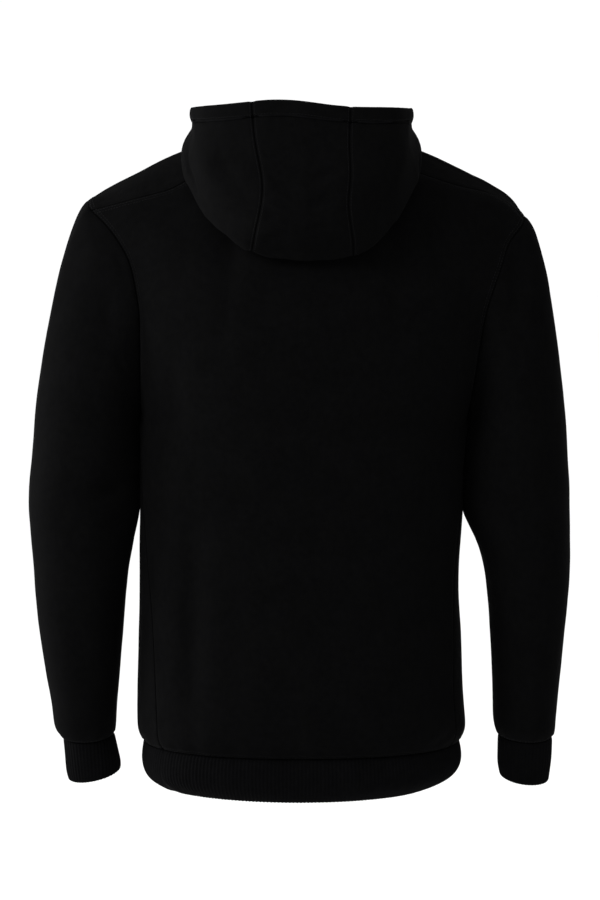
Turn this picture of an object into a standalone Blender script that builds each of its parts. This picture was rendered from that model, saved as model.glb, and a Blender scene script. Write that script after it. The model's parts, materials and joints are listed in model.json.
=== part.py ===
"""Hooded zip-up sweatshirt in its worn, hollow shape, with the hood down.

Metres, +Z up. The front faces -Y and the wearer's left is +X. The origin is where the shoulders
of the wearer carry the garment, in the middle of the neck. Every cloth piece is a wall on one
form: rings round the trunk, patches up to the shoulders, rings down the sleeves and meridians
over the hood. Neighbouring pieces share the form's points and stand a seam gap apart.
"""

import math
from collections import namedtuple

import bmesh
import bpy
import numpy as np
from mathutils import Vector
from mathutils.bvhtree import BVHTree

# --- driving dimensions -------------------------------------------------------------------
SEAM_GAP = 0.0003  # between neighbouring pieces
FLEECE = 0.0025  # wall of the body, sleeves and hood
RIB = 0.0038  # wall of the folded rib band and cuffs
HALF_OPENING = 0.006  # from the centre line to a front's edge, where the zip shows

CENTRE_PANEL = 0.050  # half width of the hood's centre panel at the neck seam
UNDERARM = -0.300  # height of the lowest point of the armholes
BAND_SEAM = -0.662  # height where the hem band is sewn on
ARMHOLE_WIDTH = 0.058  # from the middle of an armhole to its back or front
ARMHOLE_MIDDLE = 0.003  # how far behind the shoulder line an armhole's middle lies
ARMHOLE_TIP = 0.30  # how pointed the armhole is at the underarm, 0 to 1
CHEST_PROUD = 0.006  # how far the zip's edge bulges between underarm height and neck

HEM_WIDTH = 0.0195  # of the turned hem round the face opening
HEM_WALL = 0.0050  # its folded thickness
HEM_PROUD = 0.0012  # how far it stands above the panel
HEM_GROOVE = 0.0005  # how deep its stitching sinks
HEM_EDGE = 0.55  # share of its thickness at its folded edge
MOVE_CARRIED = 0.8  # share of a row's move that the next row of the hood keeps
ROLL = 0.010  # radius of the hood's roll above the neck seam
ROLL_SHARE = 0.4  # and at most this share of the way out to the fold
LEAF_RISE = 0.010  # how high the inner leaf hangs over a straight line from neck to fold
LEAF_SLACK = 0.10  # and how much higher for its fall
FOLD_ROUND = 0.008  # how roundly the hood turns at its lowest fold
HOOD_CLEAR = 0.0050  # from the hood's face to the panels it lies on

# --- how finely the form is divided -------------------------------------------------------
SHOULDER_COLUMNS = 7  # along each shoulder seam
FRONT_NECK_COLUMNS = 8  # along each front's neck edge
SIDE_NECK_COLUMNS = 3  # back neck edge outside the hood's centre panel
CENTRE_COLUMNS = 6  # back neck edge under the hood's centre panel
BACK_ARM_ROWS = 11  # underarm to shoulder seam, at the back
FRONT_ARM_ROWS = 13  # underarm to shoulder ridge, at the front
RIDGE_ROWS = 4  # shoulder ridge to shoulder seam
CAP_ROWS = 7  # armhole to the first whole ring of a sleeve
HOOD_ROWS = 16  # neck seam to the hem of the face opening
FLOOR_FADE = 1.0  # how fast the form of a patch's lower edge fades upwards
ROOF_FADE = 2.2  # how fast the form of its upper edge fades downwards
DENSE = 200  # samples on a curve before it is divided evenly
TINY = 1e-12
# Pieces whose surface runs on smoothly across their seams.
PARTS = (
    ("back", "front_left", "front_right"),
    ("sleeve_left",),
    ("sleeve_right",),
    ("cuff_left",),
    ("cuff_right",),
    ("hem_band",),
    ("hood_left", "hood_centre", "hood_right"),
)

# --- tables -------------------------------------------------------------------------------
# Trunk rings: half widths to the wearer's left and right, depths behind and before, squareness.
Ring = namedtuple("Ring", "z left right back front square")
TRUNK = (
    Ring(-0.662, 0.1795, 0.1830, 0.1170, 0.1190, 2.35),
    Ring(-0.650, 0.1850, 0.1890, 0.1255, 0.1270, 2.35),
    Ring(-0.634, 0.1865, 0.1895, 0.1280, 0.1290, 2.35),
    Ring(-0.600, 0.1865, 0.1865, 0.1265, 0.1285, 2.35),
    Ring(-0.550, 0.1850, 0.1850, 0.1225, 0.1285, 2.35),
    Ring(-0.500, 0.1835, 0.1820, 0.1180, 0.1290, 2.35),
    Ring(-0.450, 0.1830, 0.1820, 0.1150, 0.1305, 2.35),
    Ring(-0.400, 0.1825, 0.1850, 0.1150, 0.1330, 2.35),
    Ring(-0.350, 0.1820, 0.1860, 0.1190, 0.1360, 2.35),
    Ring(-0.300, 0.1800, 0.1880, 0.1240, 0.1380, 2.35),
)
BAND = (
    Ring(-0.662, 0.1795, 0.1830, 0.1170, 0.1190, 2.35),
    Ring(-0.668, 0.1800, 0.1835, 0.1200, 0.1215, 2.35),
    Ring(-0.682, 0.1815, 0.1855, 0.1235, 0.1240, 2.35),
    Ring(-0.696, 0.1790, 0.1805, 0.1210, 0.1215, 2.35),
    Ring(-0.706, 0.1725, 0.1690, 0.1155, 0.1160, 2.20),
    Ring(-0.7130, 0.1625, 0.1535, 0.1090, 0.1095, 2.10),
)
# Where the side seams run, as angles from the widest point of a ring towards the back.
SideSeam = namedtuple("SideSeam", "z left right")
SIDE_SEAMS = (
    SideSeam(-0.712, 34, 23),
    SideSeam(-0.600, 32, 23),
    SideSeam(-0.500, 26, 19),
    SideSeam(-0.400, 16, 12),
    SideSeam(-0.300, 4, 4),
)
# Armholes: distance from the centre line by depth below the top of the hole.
Armhole = namedtuple("Armhole", "drop left right")
ARMHOLES = (
    Armhole(0.000, 0.2380, 0.2530),
    Armhole(0.012, 0.2330, 0.2480),
    Armhole(0.027, 0.2170, 0.2360),
    Armhole(0.045, 0.2030, 0.2290),
    Armhole(0.062, 0.1920, 0.2240),
    Armhole(0.085, 0.1850, 0.2160),
    Armhole(0.120, 0.1790, 0.2060),
    Armhole(0.160, 0.1780, 0.2000),
    Armhole(0.210, 0.1790, 0.1940),
    Armhole(0.260, 0.1800, 0.1880),
)
# The neck seam from the middle of the back, over the shoulder, to the zip.
Neck = namedtuple("Neck", "x y z")
NECK = (
    Neck(0.000, 0.0600, -0.0040),
    Neck(CENTRE_PANEL, 0.0520, 0.0020),
    Neck(0.083, 0.0300, 0.0110),
    Neck(0.092, -0.0040, 0.0200),
    Neck(0.079, -0.0500, -0.0120),
    Neck(0.043, -0.0820, -0.0520),
    Neck(HALF_OPENING, -0.0940, -0.0700),
)
NECK_PANEL = 1  # row of NECK where the hood's panel seam starts
NECK_SEAM = 2  # row of NECK where the shoulder seam starts
NECK_RIDGE = 3  # row of NECK on the shoulder ridge
# Shoulder ridge and shoulder seam between neck and armhole, for each side.
Shoulder = namedtuple("Shoulder", "x y z")
RIDGE = {
    1: (
        Shoulder(0.120, -0.006, 0.0120),
        Shoulder(0.150, -0.007, 0.0000),
        Shoulder(0.175, -0.008, -0.0125),
        Shoulder(0.200, -0.009, -0.0250),
        Shoulder(0.222, -0.011, -0.0365),
    ),
    -1: (
        Shoulder(0.120, -0.006, 0.0130),
        Shoulder(0.155, -0.007, 0.0000),
        Shoulder(0.185, -0.009, -0.0140),
        Shoulder(0.214, -0.011, -0.0280),
        Shoulder(0.240, -0.013, -0.0460),
    ),
}
SEAM = {
    1: (
        Shoulder(0.110, 0.042, -0.0120),
        Shoulder(0.140, 0.046, -0.0320),
        Shoulder(0.186, 0.042, -0.0450),
    ),
    -1: (
        Shoulder(0.112, 0.038, -0.0070),
        Shoulder(0.145, 0.036, -0.0200),
        Shoulder(0.181, 0.028, -0.0310),
        Shoulder(0.222, 0.012, -0.0420),
    ),
}
SHOULDER_TOP = {1: -0.046, -1: -0.064}  # height of the top of each armhole
SEAM_TURN = {1: 0.15, -1: 0.08}  # where the shoulder seam meets the armhole, in half turns

# Sleeve rings below the cap: outer and inner edge, middle and half depth front to back, and
# how much the ring tips: rise towards the body and rise towards the back, per metre.
Sleeve = namedtuple("Sleeve", "z outer inner middle depth lean pitch")
SLEEVES = {
    1: (
        Sleeve(-0.335, 0.3040, 0.1858, 0.008, 0.0640, 0.00, 0.00),
        Sleeve(-0.370, 0.3080, 0.1856, 0.006, 0.0625, 0.00, 0.00),
        Sleeve(-0.400, 0.3085, 0.1858, 0.004, 0.0610, 0.00, 0.00),
        Sleeve(-0.433, 0.3065, 0.1905, 0.002, 0.0590, 0.00, 0.00),
        Sleeve(-0.470, 0.3040, 0.1960, 0.000, 0.0565, 0.00, 0.00),
        Sleeve(-0.515, 0.3010, 0.2010, -0.004, 0.0535, 0.00, -0.02),
        Sleeve(-0.555, 0.2965, 0.2045, -0.007, 0.0500, 0.01, -0.06),
        Sleeve(-0.592, 0.2920, 0.2080, -0.011, 0.0465, 0.02, -0.10),
        Sleeve(-0.622, 0.2870, 0.2110, -0.015, 0.0430, 0.03, -0.12),
        Sleeve(-0.646, 0.2845, 0.2125, -0.018, 0.0400, 0.04, -0.13),
        Sleeve(-0.658, 0.2800, 0.2140, -0.020, 0.0365, 0.05, -0.13),
        Sleeve(-0.6635, 0.2745, 0.2160, -0.021, 0.0320, 0.05, -0.13),
    ),
    -1: (
        Sleeve(-0.335, 0.3035, 0.1905, 0.008, 0.0620, 0.00, 0.00),
        Sleeve(-0.370, 0.3065, 0.1892, 0.006, 0.0615, 0.00, 0.00),
        Sleeve(-0.400, 0.3072, 0.1900, 0.004, 0.0600, 0.00, 0.00),
        Sleeve(-0.433, 0.3080, 0.2020, 0.002, 0.0580, 0.00, 0.00),
        Sleeve(-0.470, 0.3080, 0.2110, 0.000, 0.0555, 0.00, 0.00),
        Sleeve(-0.515, 0.3055, 0.2165, -0.004, 0.0520, 0.00, -0.02),
        Sleeve(-0.555, 0.3025, 0.2190, -0.007, 0.0485, 0.01, -0.06),
        Sleeve(-0.592, 0.2995, 0.2215, -0.011, 0.0450, 0.02, -0.10),
        Sleeve(-0.622, 0.2970, 0.2230, -0.015, 0.0420, 0.03, -0.12),
        Sleeve(-0.646, 0.2955, 0.2235, -0.018, 0.0395, 0.04, -0.13),
        Sleeve(-0.658, 0.2940, 0.2265, -0.020, 0.0360, 0.04, -0.13),
        Sleeve(-0.6635, 0.2920, 0.2300, -0.021, 0.0315, 0.04, -0.13),
    ),
}
CUFFS = {
    1: (
        Sleeve(-0.6635, 0.2745, 0.2160, -0.021, 0.0320, 0.05, -0.13),
        Sleeve(-0.672, 0.2735, 0.2140, -0.022, 0.0312, 0.08, -0.14),
        Sleeve(-0.688, 0.2725, 0.2110, -0.024, 0.0306, 0.12, -0.15),
        Sleeve(-0.701, 0.2715, 0.2090, -0.026, 0.0300, 0.16, -0.16),
        Sleeve(-0.7095, 0.2695, 0.2090, -0.027, 0.0287, 0.19, -0.16),
    ),
    -1: (
        Sleeve(-0.6635, 0.2920, 0.2300, -0.021, 0.0315, 0.04, -0.13),
        Sleeve(-0.672, 0.2920, 0.2295, -0.022, 0.0308, 0.05, -0.14),
        Sleeve(-0.688, 0.2915, 0.2295, -0.024, 0.0304, 0.07, -0.15),
        Sleeve(-0.701, 0.2905, 0.2300, -0.026, 0.0299, 0.09, -0.16),
        Sleeve(-0.7135, 0.2890, 0.2325, -0.027, 0.0285, 0.10, -0.16),
    ),
}
# How far a sleeve leaves the armhole before it turns down: share of the way, then direction.
CAP_START = {"top": 0.27, "middle": 0.45, "under": 0.80}
CAP_END = {"top": 1.05, "middle": 0.95, "under": 0.70}
OVER_SHOULDER = np.array([0.88, 0.0, -0.46])
AT_UNDERARM = np.array([0.70, 0.0, -0.72])
CAP_SPREAD = 0.30  # how far the cap leans out to the back and the front
ARM_DOWN = np.array([0.05, 0.0, -1.0])

# The hood's meridians round the neck: height of the roll over the neck seam, the lowest fold,
# the belly of the outer leaf and the edge of the face opening.
Meridian = namedtuple("Meridian", "neck stand fold belly rim")
HOOD = (
    Meridian(0.000, 0.036, (0.000, 0.140, -0.1130), (0.000, 0.168, -0.056), (0.000, 0.118, 0.0540)),
    Meridian(0.176, 0.034, (0.055, 0.133, -0.1030), (0.049, 0.161, -0.052), (0.054, 0.111, 0.0540)),
    Meridian(0.315, 0.028, (0.101, 0.110, -0.0740), (0.099, 0.131, -0.030), (0.099, 0.088, 0.0550)),
    Meridian(0.440, 0.022, (0.131, 0.064, -0.0220), (0.122, 0.080, 0.015), (0.1205, 0.048, 0.0550)),
    Meridian(0.550, 0.022, (0.1345, 0.010, 0.0200), (0.1250, 0.012, 0.040), (0.1215, 0.002, 0.0530)),
    Meridian(0.680, 0.023, (0.124, -0.044, 0.0120), (0.122, -0.046, 0.026), (0.112, -0.042, 0.0400)),
    Meridian(0.840, 0.022, (0.060, -0.086, -0.0300), (0.065, -0.087, -0.020), (0.071, -0.084, -0.0050)),
    Meridian(1.000, 0.010, (0.007, -0.0955, -0.0560), (0.008, -0.095, -0.048), (0.009, -0.0945, -0.0380)),
)
RIM_PEAK = (0.024, 0.060, 0.0090)  # where the edge of the hood rises, over what half width, how far
HOOD_SHIFT = -0.0015  # how far the hood hangs to the wearer's right
STANDS_FROM = 0.50  # share of the neck seam from where the hood unfolds towards the front
STANDS_AT = 0.74  # and where it simply stands up
ROUND_FOLD = 9  # samples that round the folded hood
ROUND_STAND = 40  # and where it stands
HEM_ROWS = (0.0220, HEM_WIDTH, 0.0170, 0.0100, 0.0040, 0.0)  # distances from the hood's edge

FOLD_END = 0.15  # how far in from its ends a fold's depth starts
# Large soft folds: from one point to another, over a half width, sunk by a depth.
Fold = namedtuple("Fold", "pieces start end half_width depth")
FOLDS = (
    Fold(("back",), (0.125, 0.115, -0.270), (0.120, 0.110, -0.620), 0.020, 0.0030),
    Fold(("back",), (0.030, 0.120, -0.240), (0.020, 0.115, -0.600), 0.045, -0.0025),
    Fold(("sleeve_right",), (-0.243, 0.060, -0.090), (-0.240, 0.068, -0.190), 0.014, 0.0090),
    Fold(("sleeve_left",), (0.215, 0.062, -0.150), (0.222, 0.064, -0.220), 0.014, 0.0040),
    Fold(("sleeve_left",), (0.200, 0.050, -0.372), (0.262, 0.062, -0.395), 0.012, 0.0045),
    Fold(("sleeve_right",), (-0.215, 0.050, -0.400), (-0.268, 0.060, -0.425), 0.012, 0.0040),
)

# Zip
TAPE_WIDTH = 0.016
TAPE_THICK = 0.0010
TAPE_BEHIND = 0.0004  # from the cloth's inner face to the tape
TAPE_EASE = (0.002, 0.020)  # above the band seam: where the tape comes forward, over what height
TAPE_SHORT = 0.05  # share of its last stretch that the tape ends below the neck seam
TAPE_MEET = 0.0004  # from the centre line to each tape
SLIDER_TOP = -0.080
SLIDER_LENGTH = 0.012
SLIDER_HALF_WIDTH = 0.0045
SLIDER_THICK = 0.0030
EAR_HALF_SPAN = 0.0034
EAR_THICK = 0.0010
EAR_LENGTH = 0.0036
EAR_PAST = 0.0011  # how far an ear reaches past the pin's axis
EAR_SUNK = 0.0004  # how far its root sinks into the slider
PIN_RADIUS = 0.0007
PIN_PROUD = 0.0020  # from the slider's face to the pin's axis
EYE_INNER = 0.0010
EYE_OUTER = 0.0017
PULL_LENGTH = 0.028
PULL_HALF_WIDTH = 0.0030
PULL_THICK = 0.0014
PULL_NECK = (0.0045, 0.0075)  # below the pin: where the tab starts to widen, and where it is wide
PULL_TIP = (0.0018, 0.0025)  # half width of its end, and height of its bevelled corners
STOP_SIZE = (0.0030, 0.0016, 0.0040)
STOP_APART = 0.0008  # from the centre line to each top stop
STOP_DOWN = 0.75  # how many of its own heights a top stop sits below the tape's end
BOX_SIZE = (0.0090, 0.0022, 0.0090)
BOX_UP = 0.62  # how many of its own heights the retainer box sits above the tape's end
BOX_BEVEL = 0.2  # broken edges of boxes, as a share of their least size


# --- curves -------------------------------------------------------------------------------
def spline(points, t):
    """Catmull-Rom curve through points at parameters t from 0 to 1, one span for each pair."""
    points = np.asarray(points, float)
    t = np.atleast_1d(np.asarray(t, float)) * (len(points) - 1)
    span = np.clip(np.floor(t).astype(int), 0, len(points) - 2)
    u = (t - span)[:, None]
    before = 2 * points[0] - points[1]
    after = 2 * points[-1] - points[-2]
    padded = np.vstack([before, points, after])
    p0, p1, p2, p3 = padded[span], padded[span + 1], padded[span + 2], padded[span + 3]
    cubic = 3 * p1 - 3 * p2 + p3 - p0
    square = 2 * p0 - 5 * p1 + 4 * p2 - p3
    return 0.5 * (2 * p1 + (p2 - p0) * u + square * u**2 + cubic * u**3)


def lengths(points):
    """Distance run along a line of points, starting at 0."""
    steps = np.linalg.norm(np.diff(points, axis=0), axis=1)
    return np.concatenate([[0.0], np.cumsum(steps)])


def at_distances(points, distances):
    """Points on a line of points at the given distances from its start."""
    run = lengths(points)
    return np.column_stack([np.interp(distances, run, points[:, k]) for k in range(3)])


def divide(points, count):
    """A line of points divided into count equal stretches."""
    return at_distances(points, np.linspace(0.0, lengths(points)[-1], count + 1))


def smooth_curve(points, count):
    """A smooth curve through points, divided into count equal stretches."""
    return divide(spline(points, np.linspace(0, 1, DENSE)), count)


def rounded(curve, half):
    """A line of evenly spaced points, each the mean of up to half points on either side."""
    last = len(curve) - 1
    reach = [min(half, k, last - k) for k in range(last + 1)]
    return np.array([curve[k - r : k + r + 1].mean(axis=0) for k, r in enumerate(reach)])


def column(table, name, x, key=0):
    """One column of a table read at x, smooth between the rows."""
    keys = np.array([row[key] for row in table])
    values = np.array([[getattr(row, name)] for row in table], float)
    order = np.argsort(keys)
    where = np.interp(x, keys[order], np.linspace(0, 1, len(keys)))
    return spline(values[order], where)[:, 0]


# --- trunk --------------------------------------------------------------------------------
def ring_point(ring, angle):
    """Point of a trunk ring at an angle from the wearer's left, turning towards the back."""
    c, s = math.cos(angle), math.sin(angle)
    wide = ring.left if c > 0 else ring.right
    deep = ring.back if s > 0 else ring.front
    x = wide * math.copysign(abs(c) ** (2 / ring.square), c)
    y = deep * math.copysign(abs(s) ** (2 / ring.square), s)
    return x, y, ring.z


def ring_arc(ring, start, end, count):
    """A stretch of a trunk ring between two angles, divided into count equal stretches."""
    points = [ring_point(ring, a) for a in np.linspace(start, end, DENSE)]
    return divide(np.array(points), count)


def side_angles(z):
    """Angles of the left and right side seams on the ring at height z."""
    left = math.radians(column(SIDE_SEAMS, "left", z)[0])
    right = math.pi - math.radians(column(SIDE_SEAMS, "right", z)[0])
    return left, right


BACK_COLUMNS = 2 * SHOULDER_COLUMNS + 2 * SIDE_NECK_COLUMNS + CENTRE_COLUMNS
FRONT_COLUMNS = FRONT_NECK_COLUMNS + SHOULDER_COLUMNS


def back_row(ring):
    """Back points of a ring, from the left side seam to the right one."""
    left, right = side_angles(ring.z)
    return ring_arc(ring, left, right, BACK_COLUMNS)


def front_row(ring, side):
    """Front points of a ring from the zip to the side seam, on the side 1 (left) or -1."""
    left, right = side_angles(ring.z)
    seam = left if side > 0 else right - 2 * math.pi
    row = ring_arc(ring, -math.pi / 2, seam, FRONT_COLUMNS)
    row[0, 0] = side * HALF_OPENING
    back = back_row(ring)
    row[-1] = back[0] if side > 0 else back[-1]
    return row


# --- shoulders ----------------------------------------------------------------------------
def armhole_point(turn, side):
    """Point of an armhole: turn 0 at its top, 1 and -1 at the underarm, positive at the back."""
    top = SHOULDER_TOP[side]
    share = abs(turn)
    round_drop = (1 - math.cos(math.pi * share)) / 2
    drop = (top - UNDERARM) * ((1 - ARMHOLE_TIP) * round_drop + ARMHOLE_TIP * share**2)
    depth = ARMHOLE_MIDDLE + ARMHOLE_WIDTH * math.sin(math.pi * share) * math.copysign(1, turn)
    name = "left" if side > 0 else "right"
    x = column(ARMHOLES, name, drop / (top - UNDERARM) * ARMHOLES[-1].drop)[0]
    return np.array([side * x, depth, top - drop])


def armhole(side, start, end, count):
    """Armhole points between two turns, in count stretches; the ends meet the side seam."""
    points = np.array([armhole_point(turn, side) for turn in np.linspace(start, end, count + 1)])
    seam = underarm(side)
    for index, turn in ((0, start), (-1, end)):
        if abs(turn) == 1:
            points[index] = seam
    return points


def underarm(side):
    """Where the side seam meets the armhole."""
    row = back_row(TRUNK[-1])
    return row[0] if side > 0 else row[-1]


def mirrored(points, side):
    """Points on the side 1 or -1 of the centre line."""
    return np.asarray(points, float) * np.array([side, 1, 1])


def neck_line(first, last, side, count):
    """Neck seam between two rows of NECK, in count stretches."""
    curve = spline(NECK, np.linspace(first, last, DENSE) / (len(NECK) - 1))
    return mirrored(divide(curve, count), side)


def ridge_line(side):
    """Top of a shoulder from the neck to the armhole."""
    tip = armhole_point(0, side)
    inner = mirrored([NECK[NECK_RIDGE], *RIDGE[side]], side)
    return smooth_curve(np.vstack([inner, tip]), SHOULDER_COLUMNS)


def shoulder_seam(side):
    """Shoulder seam from the neck to the armhole."""
    tip = armhole_point(SEAM_TURN[side], side)
    inner = mirrored([NECK[NECK_SEAM], *SEAM[side]], side)
    return smooth_curve(np.vstack([inner, tip]), SHOULDER_COLUMNS)


def patch(bottom, top, first, last):
    """Surface between four edges: rows run from bottom to top, columns from first to last."""
    v = lengths(first) / lengths(first)[-1]
    w = lengths(last) / lengths(last)[-1]
    u = np.linspace(0, 1, len(bottom))[None, :, None]
    rise = (v[:, None] * (1 - u[0, :, 0]) + w[:, None] * u[0, :, 0])[:, :, None]
    sides = first[:, None, :] * (1 - u) + last[:, None, :] * u
    floor = bottom[None, :, :] - (bottom[0] * (1 - u) + bottom[-1] * u)
    roof = top[None, :, :] - (top[0] * (1 - u) + top[-1] * u)
    grid = sides + floor * (1 - rise) ** FLOOR_FADE + roof * rise**ROOF_FADE
    grid[0], grid[-1] = bottom, top
    grid[:, 0], grid[:, -1] = first, last
    return grid


def back_grid():
    """Back: rings from the band seam to the underarm, then a patch up to shoulders and neck."""
    rings = np.array([back_row(ring) for ring in TRUNK])
    left_arm = armhole(1, 1, SEAM_TURN[1], BACK_ARM_ROWS)
    right_arm = armhole(-1, 1, SEAM_TURN[-1], BACK_ARM_ROWS)
    left_neck = neck_line(NECK_PANEL, NECK_SEAM, 1, SIDE_NECK_COLUMNS)[::-1]
    right_neck = neck_line(NECK_PANEL, NECK_SEAM, -1, SIDE_NECK_COLUMNS)
    top = np.vstack([
        shoulder_seam(1)[::-1],
        left_neck[1:],
        centre_neck()[1:],
        right_neck[1:],
        shoulder_seam(-1)[1:],
    ])
    return np.vstack([rings, patch(rings[-1], top, left_arm, right_arm)[1:]])


def centre_neck():
    """Neck seam under the hood's centre panel, from the wearer's left to the right."""
    half = CENTRE_COLUMNS // 2
    left = neck_line(0, NECK_PANEL, 1, half)[::-1]
    right = neck_line(0, NECK_PANEL, -1, half)
    return np.vstack([left, right[1:]])


def front_grids(side):
    """Front: from the band seam to the ridge and neck, and from the ridge back to the seam."""
    rings = np.array([front_row(ring, side) for ring in TRUNK])
    arm = armhole(side, -1, 0, FRONT_ARM_ROWS)
    neck = neck_line(NECK_RIDGE, len(NECK) - 1, side, FRONT_NECK_COLUMNS)[::-1]
    ridge = ridge_line(side)
    top = np.vstack([neck, ridge[1:]])
    low = rings[-1, 0]
    chest = (low + neck[0]) / 2 + (0, -CHEST_PROUD, 0)
    centre = smooth_curve([low, chest, neck[0]], FRONT_ARM_ROWS)
    centre[:, 0] = side * HALF_OPENING
    main = np.vstack([rings, patch(rings[-1], top, centre, arm)[1:]])
    over = patch(
        ridge,
        shoulder_seam(side),
        neck_line(NECK_SEAM, NECK_RIDGE, side, RIDGE_ROWS)[::-1],
        armhole(side, 0, SEAM_TURN[side], RIDGE_ROWS),
    )
    return main, over


# --- sleeves ------------------------------------------------------------------------------
def sleeve_ring(section, side, turns):
    """A ring of a sleeve at the turns of the armhole's points."""
    middle = (section.outer + section.inner) / 2
    half = (section.outer - section.inner) / 2
    across = half * np.cos(np.pi * turns)
    deep = section.depth * np.sin(np.pi * turns)
    rise = -section.lean * across + section.pitch * deep
    return np.column_stack([side * (middle + across), section.middle + deep, section.z + rise])


def arm_turns(side):
    """Turns of the armhole's points, all round, from the shoulder seam over the back."""
    back = np.linspace(SEAM_TURN[side], 1, BACK_ARM_ROWS + 1)
    front = np.linspace(-1, 0, FRONT_ARM_ROWS + 1)
    ridge = np.linspace(0, SEAM_TURN[side], RIDGE_ROWS + 1)
    return np.concatenate([back, front[1:], ridge[1:]])


def arm_loop(side):
    """The armhole's points, all round, from the shoulder seam over the back."""
    back = armhole(side, 1, SEAM_TURN[side], BACK_ARM_ROWS)[::-1]
    front = armhole(side, -1, 0, FRONT_ARM_ROWS)
    ridge = armhole(side, 0, SEAM_TURN[side], RIDGE_ROWS)
    return np.vstack([back, front[1:], ridge[1:]])


def blend(table, turn):
    """A value that goes from the top of the armhole over its middle to the underarm."""
    share = abs(turn)
    if share < 0.5:
        return table["top"] * (1 - 2 * share) + table["middle"] * 2 * share
    return table["middle"] * (2 - 2 * share) + table["under"] * (2 * share - 1)


def cap_rows(side):
    """The sleeve cap: curves from the armhole out over the arm and down to the first ring."""
    turns, start = arm_turns(side), arm_loop(side)
    end = sleeve_ring(SLEEVES[side][0], side, turns)
    rows = []
    for t in np.linspace(0, 1, CAP_ROWS + 1)[:-1]:
        row = []
        for turn, a, b in zip(turns, start, end):
            reach = np.linalg.norm(b - a)
            fall = (1 - math.cos(math.pi * abs(turn))) / 2
            out = OVER_SHOULDER * (1 - fall) + AT_UNDERARM * fall
            out = out * (side, 1, 1) + (0, CAP_SPREAD * math.sin(math.pi * turn), 0)
            leave = out / np.linalg.norm(out) * reach * blend(CAP_START, turn)
            arrive = ARM_DOWN * (side, 1, 1) * reach * blend(CAP_END, turn)
            row.append(
                a * (2 * t**3 - 3 * t**2 + 1)
                + leave * (t**3 - 2 * t**2 + t)
                + b * (3 * t**2 - 2 * t**3)
                + arrive * (t**3 - t**2)
            )
        rows.append(row)
    rows = np.array(rows)
    rows[0] = start
    return rows


def sleeve_grid(side):
    """A sleeve from the armhole to the cuff seam."""
    turns = arm_turns(side)
    rings = np.array([sleeve_ring(section, side, turns) for section in SLEEVES[side]])
    grid = np.vstack([cap_rows(side), rings])
    grid[:, -1] = grid[:, 0]
    return grid


def cuff_grid(side):
    """A cuff from its seam to its folded edge."""
    turns = arm_turns(side)
    grid = np.array([sleeve_ring(section, side, turns) for section in CUFFS[side]])
    grid[:, -1] = grid[:, 0]
    return grid


# --- hood ---------------------------------------------------------------------------------
def hood_table(name, where):
    """A column of the hood's table at a share of the way from the back of the neck to the zip."""
    keys = [row.neck for row in HOOD]
    values = np.array([np.atleast_1d(getattr(row, name)) for row in HOOD], float)
    return spline(values, np.interp(where, keys, np.linspace(0, 1, len(keys))))[0]


def meridian(neck, where, side):
    """A line over the hood from the neck seam, up, over, down to the fold and up to its edge."""
    shift = np.array([HOOD_SHIFT, 0, 0])
    fold, belly, rim = (mirrored(hood_table(name, where), side) + shift for name in ("fold", "belly", "rim"))
    peak_at, peak_half, peak_rise = RIM_PEAK
    rim[2] += peak_rise * math.exp(-(((rim[0] - peak_at) / peak_half) ** 2))
    stand = hood_table("stand", where)[0]
    out = (fold - neck) * np.array([1, 1, 0])
    out = out / max(np.linalg.norm(out), 1e-6)
    up = np.array([0, 0, 1.0])
    roll = min(ROLL, ROLL_SHARE * np.linalg.norm((fold - neck)[:2]))
    sag = LEAF_RISE - LEAF_SLACK * (fold[2] - neck[2])
    points = [
        neck,
        neck + up * stand * 0.65 - out * 0.001,
        neck + up * stand + out * roll * 0.8,
        neck + up * stand * 0.62 + out * roll * 2.0,
        neck * 0.55 + fold * 0.45 + up * sag - out * 0.002,
        fold - out * FOLD_ROUND,
        fold + up * FOLD_ROUND,
        belly,
        belly * 0.42 + rim * 0.58 + out * 0.004,
        rim,
    ]
    share = min(max((where - STANDS_FROM) / (STANDS_AT - STANDS_FROM), 0.0), 1.0)
    ease = share * share * (3 - 2 * share)
    straight = [neck + (rim - neck) * k for k in np.linspace(0, 1, len(points))]
    points = [p * (1 - ease) + s * ease for p, s in zip(points, straight)]
    even = divide(spline(np.array(points), np.linspace(0, 1, DENSE)), DENSE)
    curve = rounded(even, round(ROUND_FOLD + (ROUND_STAND - ROUND_FOLD) * ease))
    total = lengths(curve)[-1]
    hem = np.minimum(np.array(HEM_ROWS), total * np.linspace(0.75, 0, len(HEM_ROWS)))
    inner = np.linspace(0, total - hem[0], HOOD_ROWS + 1)[:-1]
    line = at_distances(curve, np.concatenate([inner, total - hem]))
    line[0] = neck
    return line


def lifted(grid, tree):
    """A hood grid moved out where it would come too near the panels below it."""
    def longer(first, second):
        return first if np.linalg.norm(first) > np.linalg.norm(second) else second

    def move(point, start):
        clear = min(HOOD_CLEAR, 0.5 * np.linalg.norm(point - start))
        place, normal, _, _ = tree.find_nearest(Vector(point))
        height = (Vector(point) - place).dot(normal)
        return np.array(normal) * max(clear - height, 0.0)

    moves = np.zeros_like(grid)
    last = grid.shape[1] - 1
    for row in range(1, len(grid)):
        for k in range(last + 1):
            own = move(grid[row, k], grid[0, k])
            moves[row, k] = longer(own, moves[row - 1, k] * MOVE_CARRIED)
        for k in range(last):
            middle, start = grid[row, k : k + 2].mean(axis=0), grid[0, k : k + 2].mean(axis=0)
            between = move(middle, start)
            for n in (k, k + 1):
                if 0 < n < last:
                    moves[row, n] = longer(moves[row, n], between)
    return grid + moves


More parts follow.
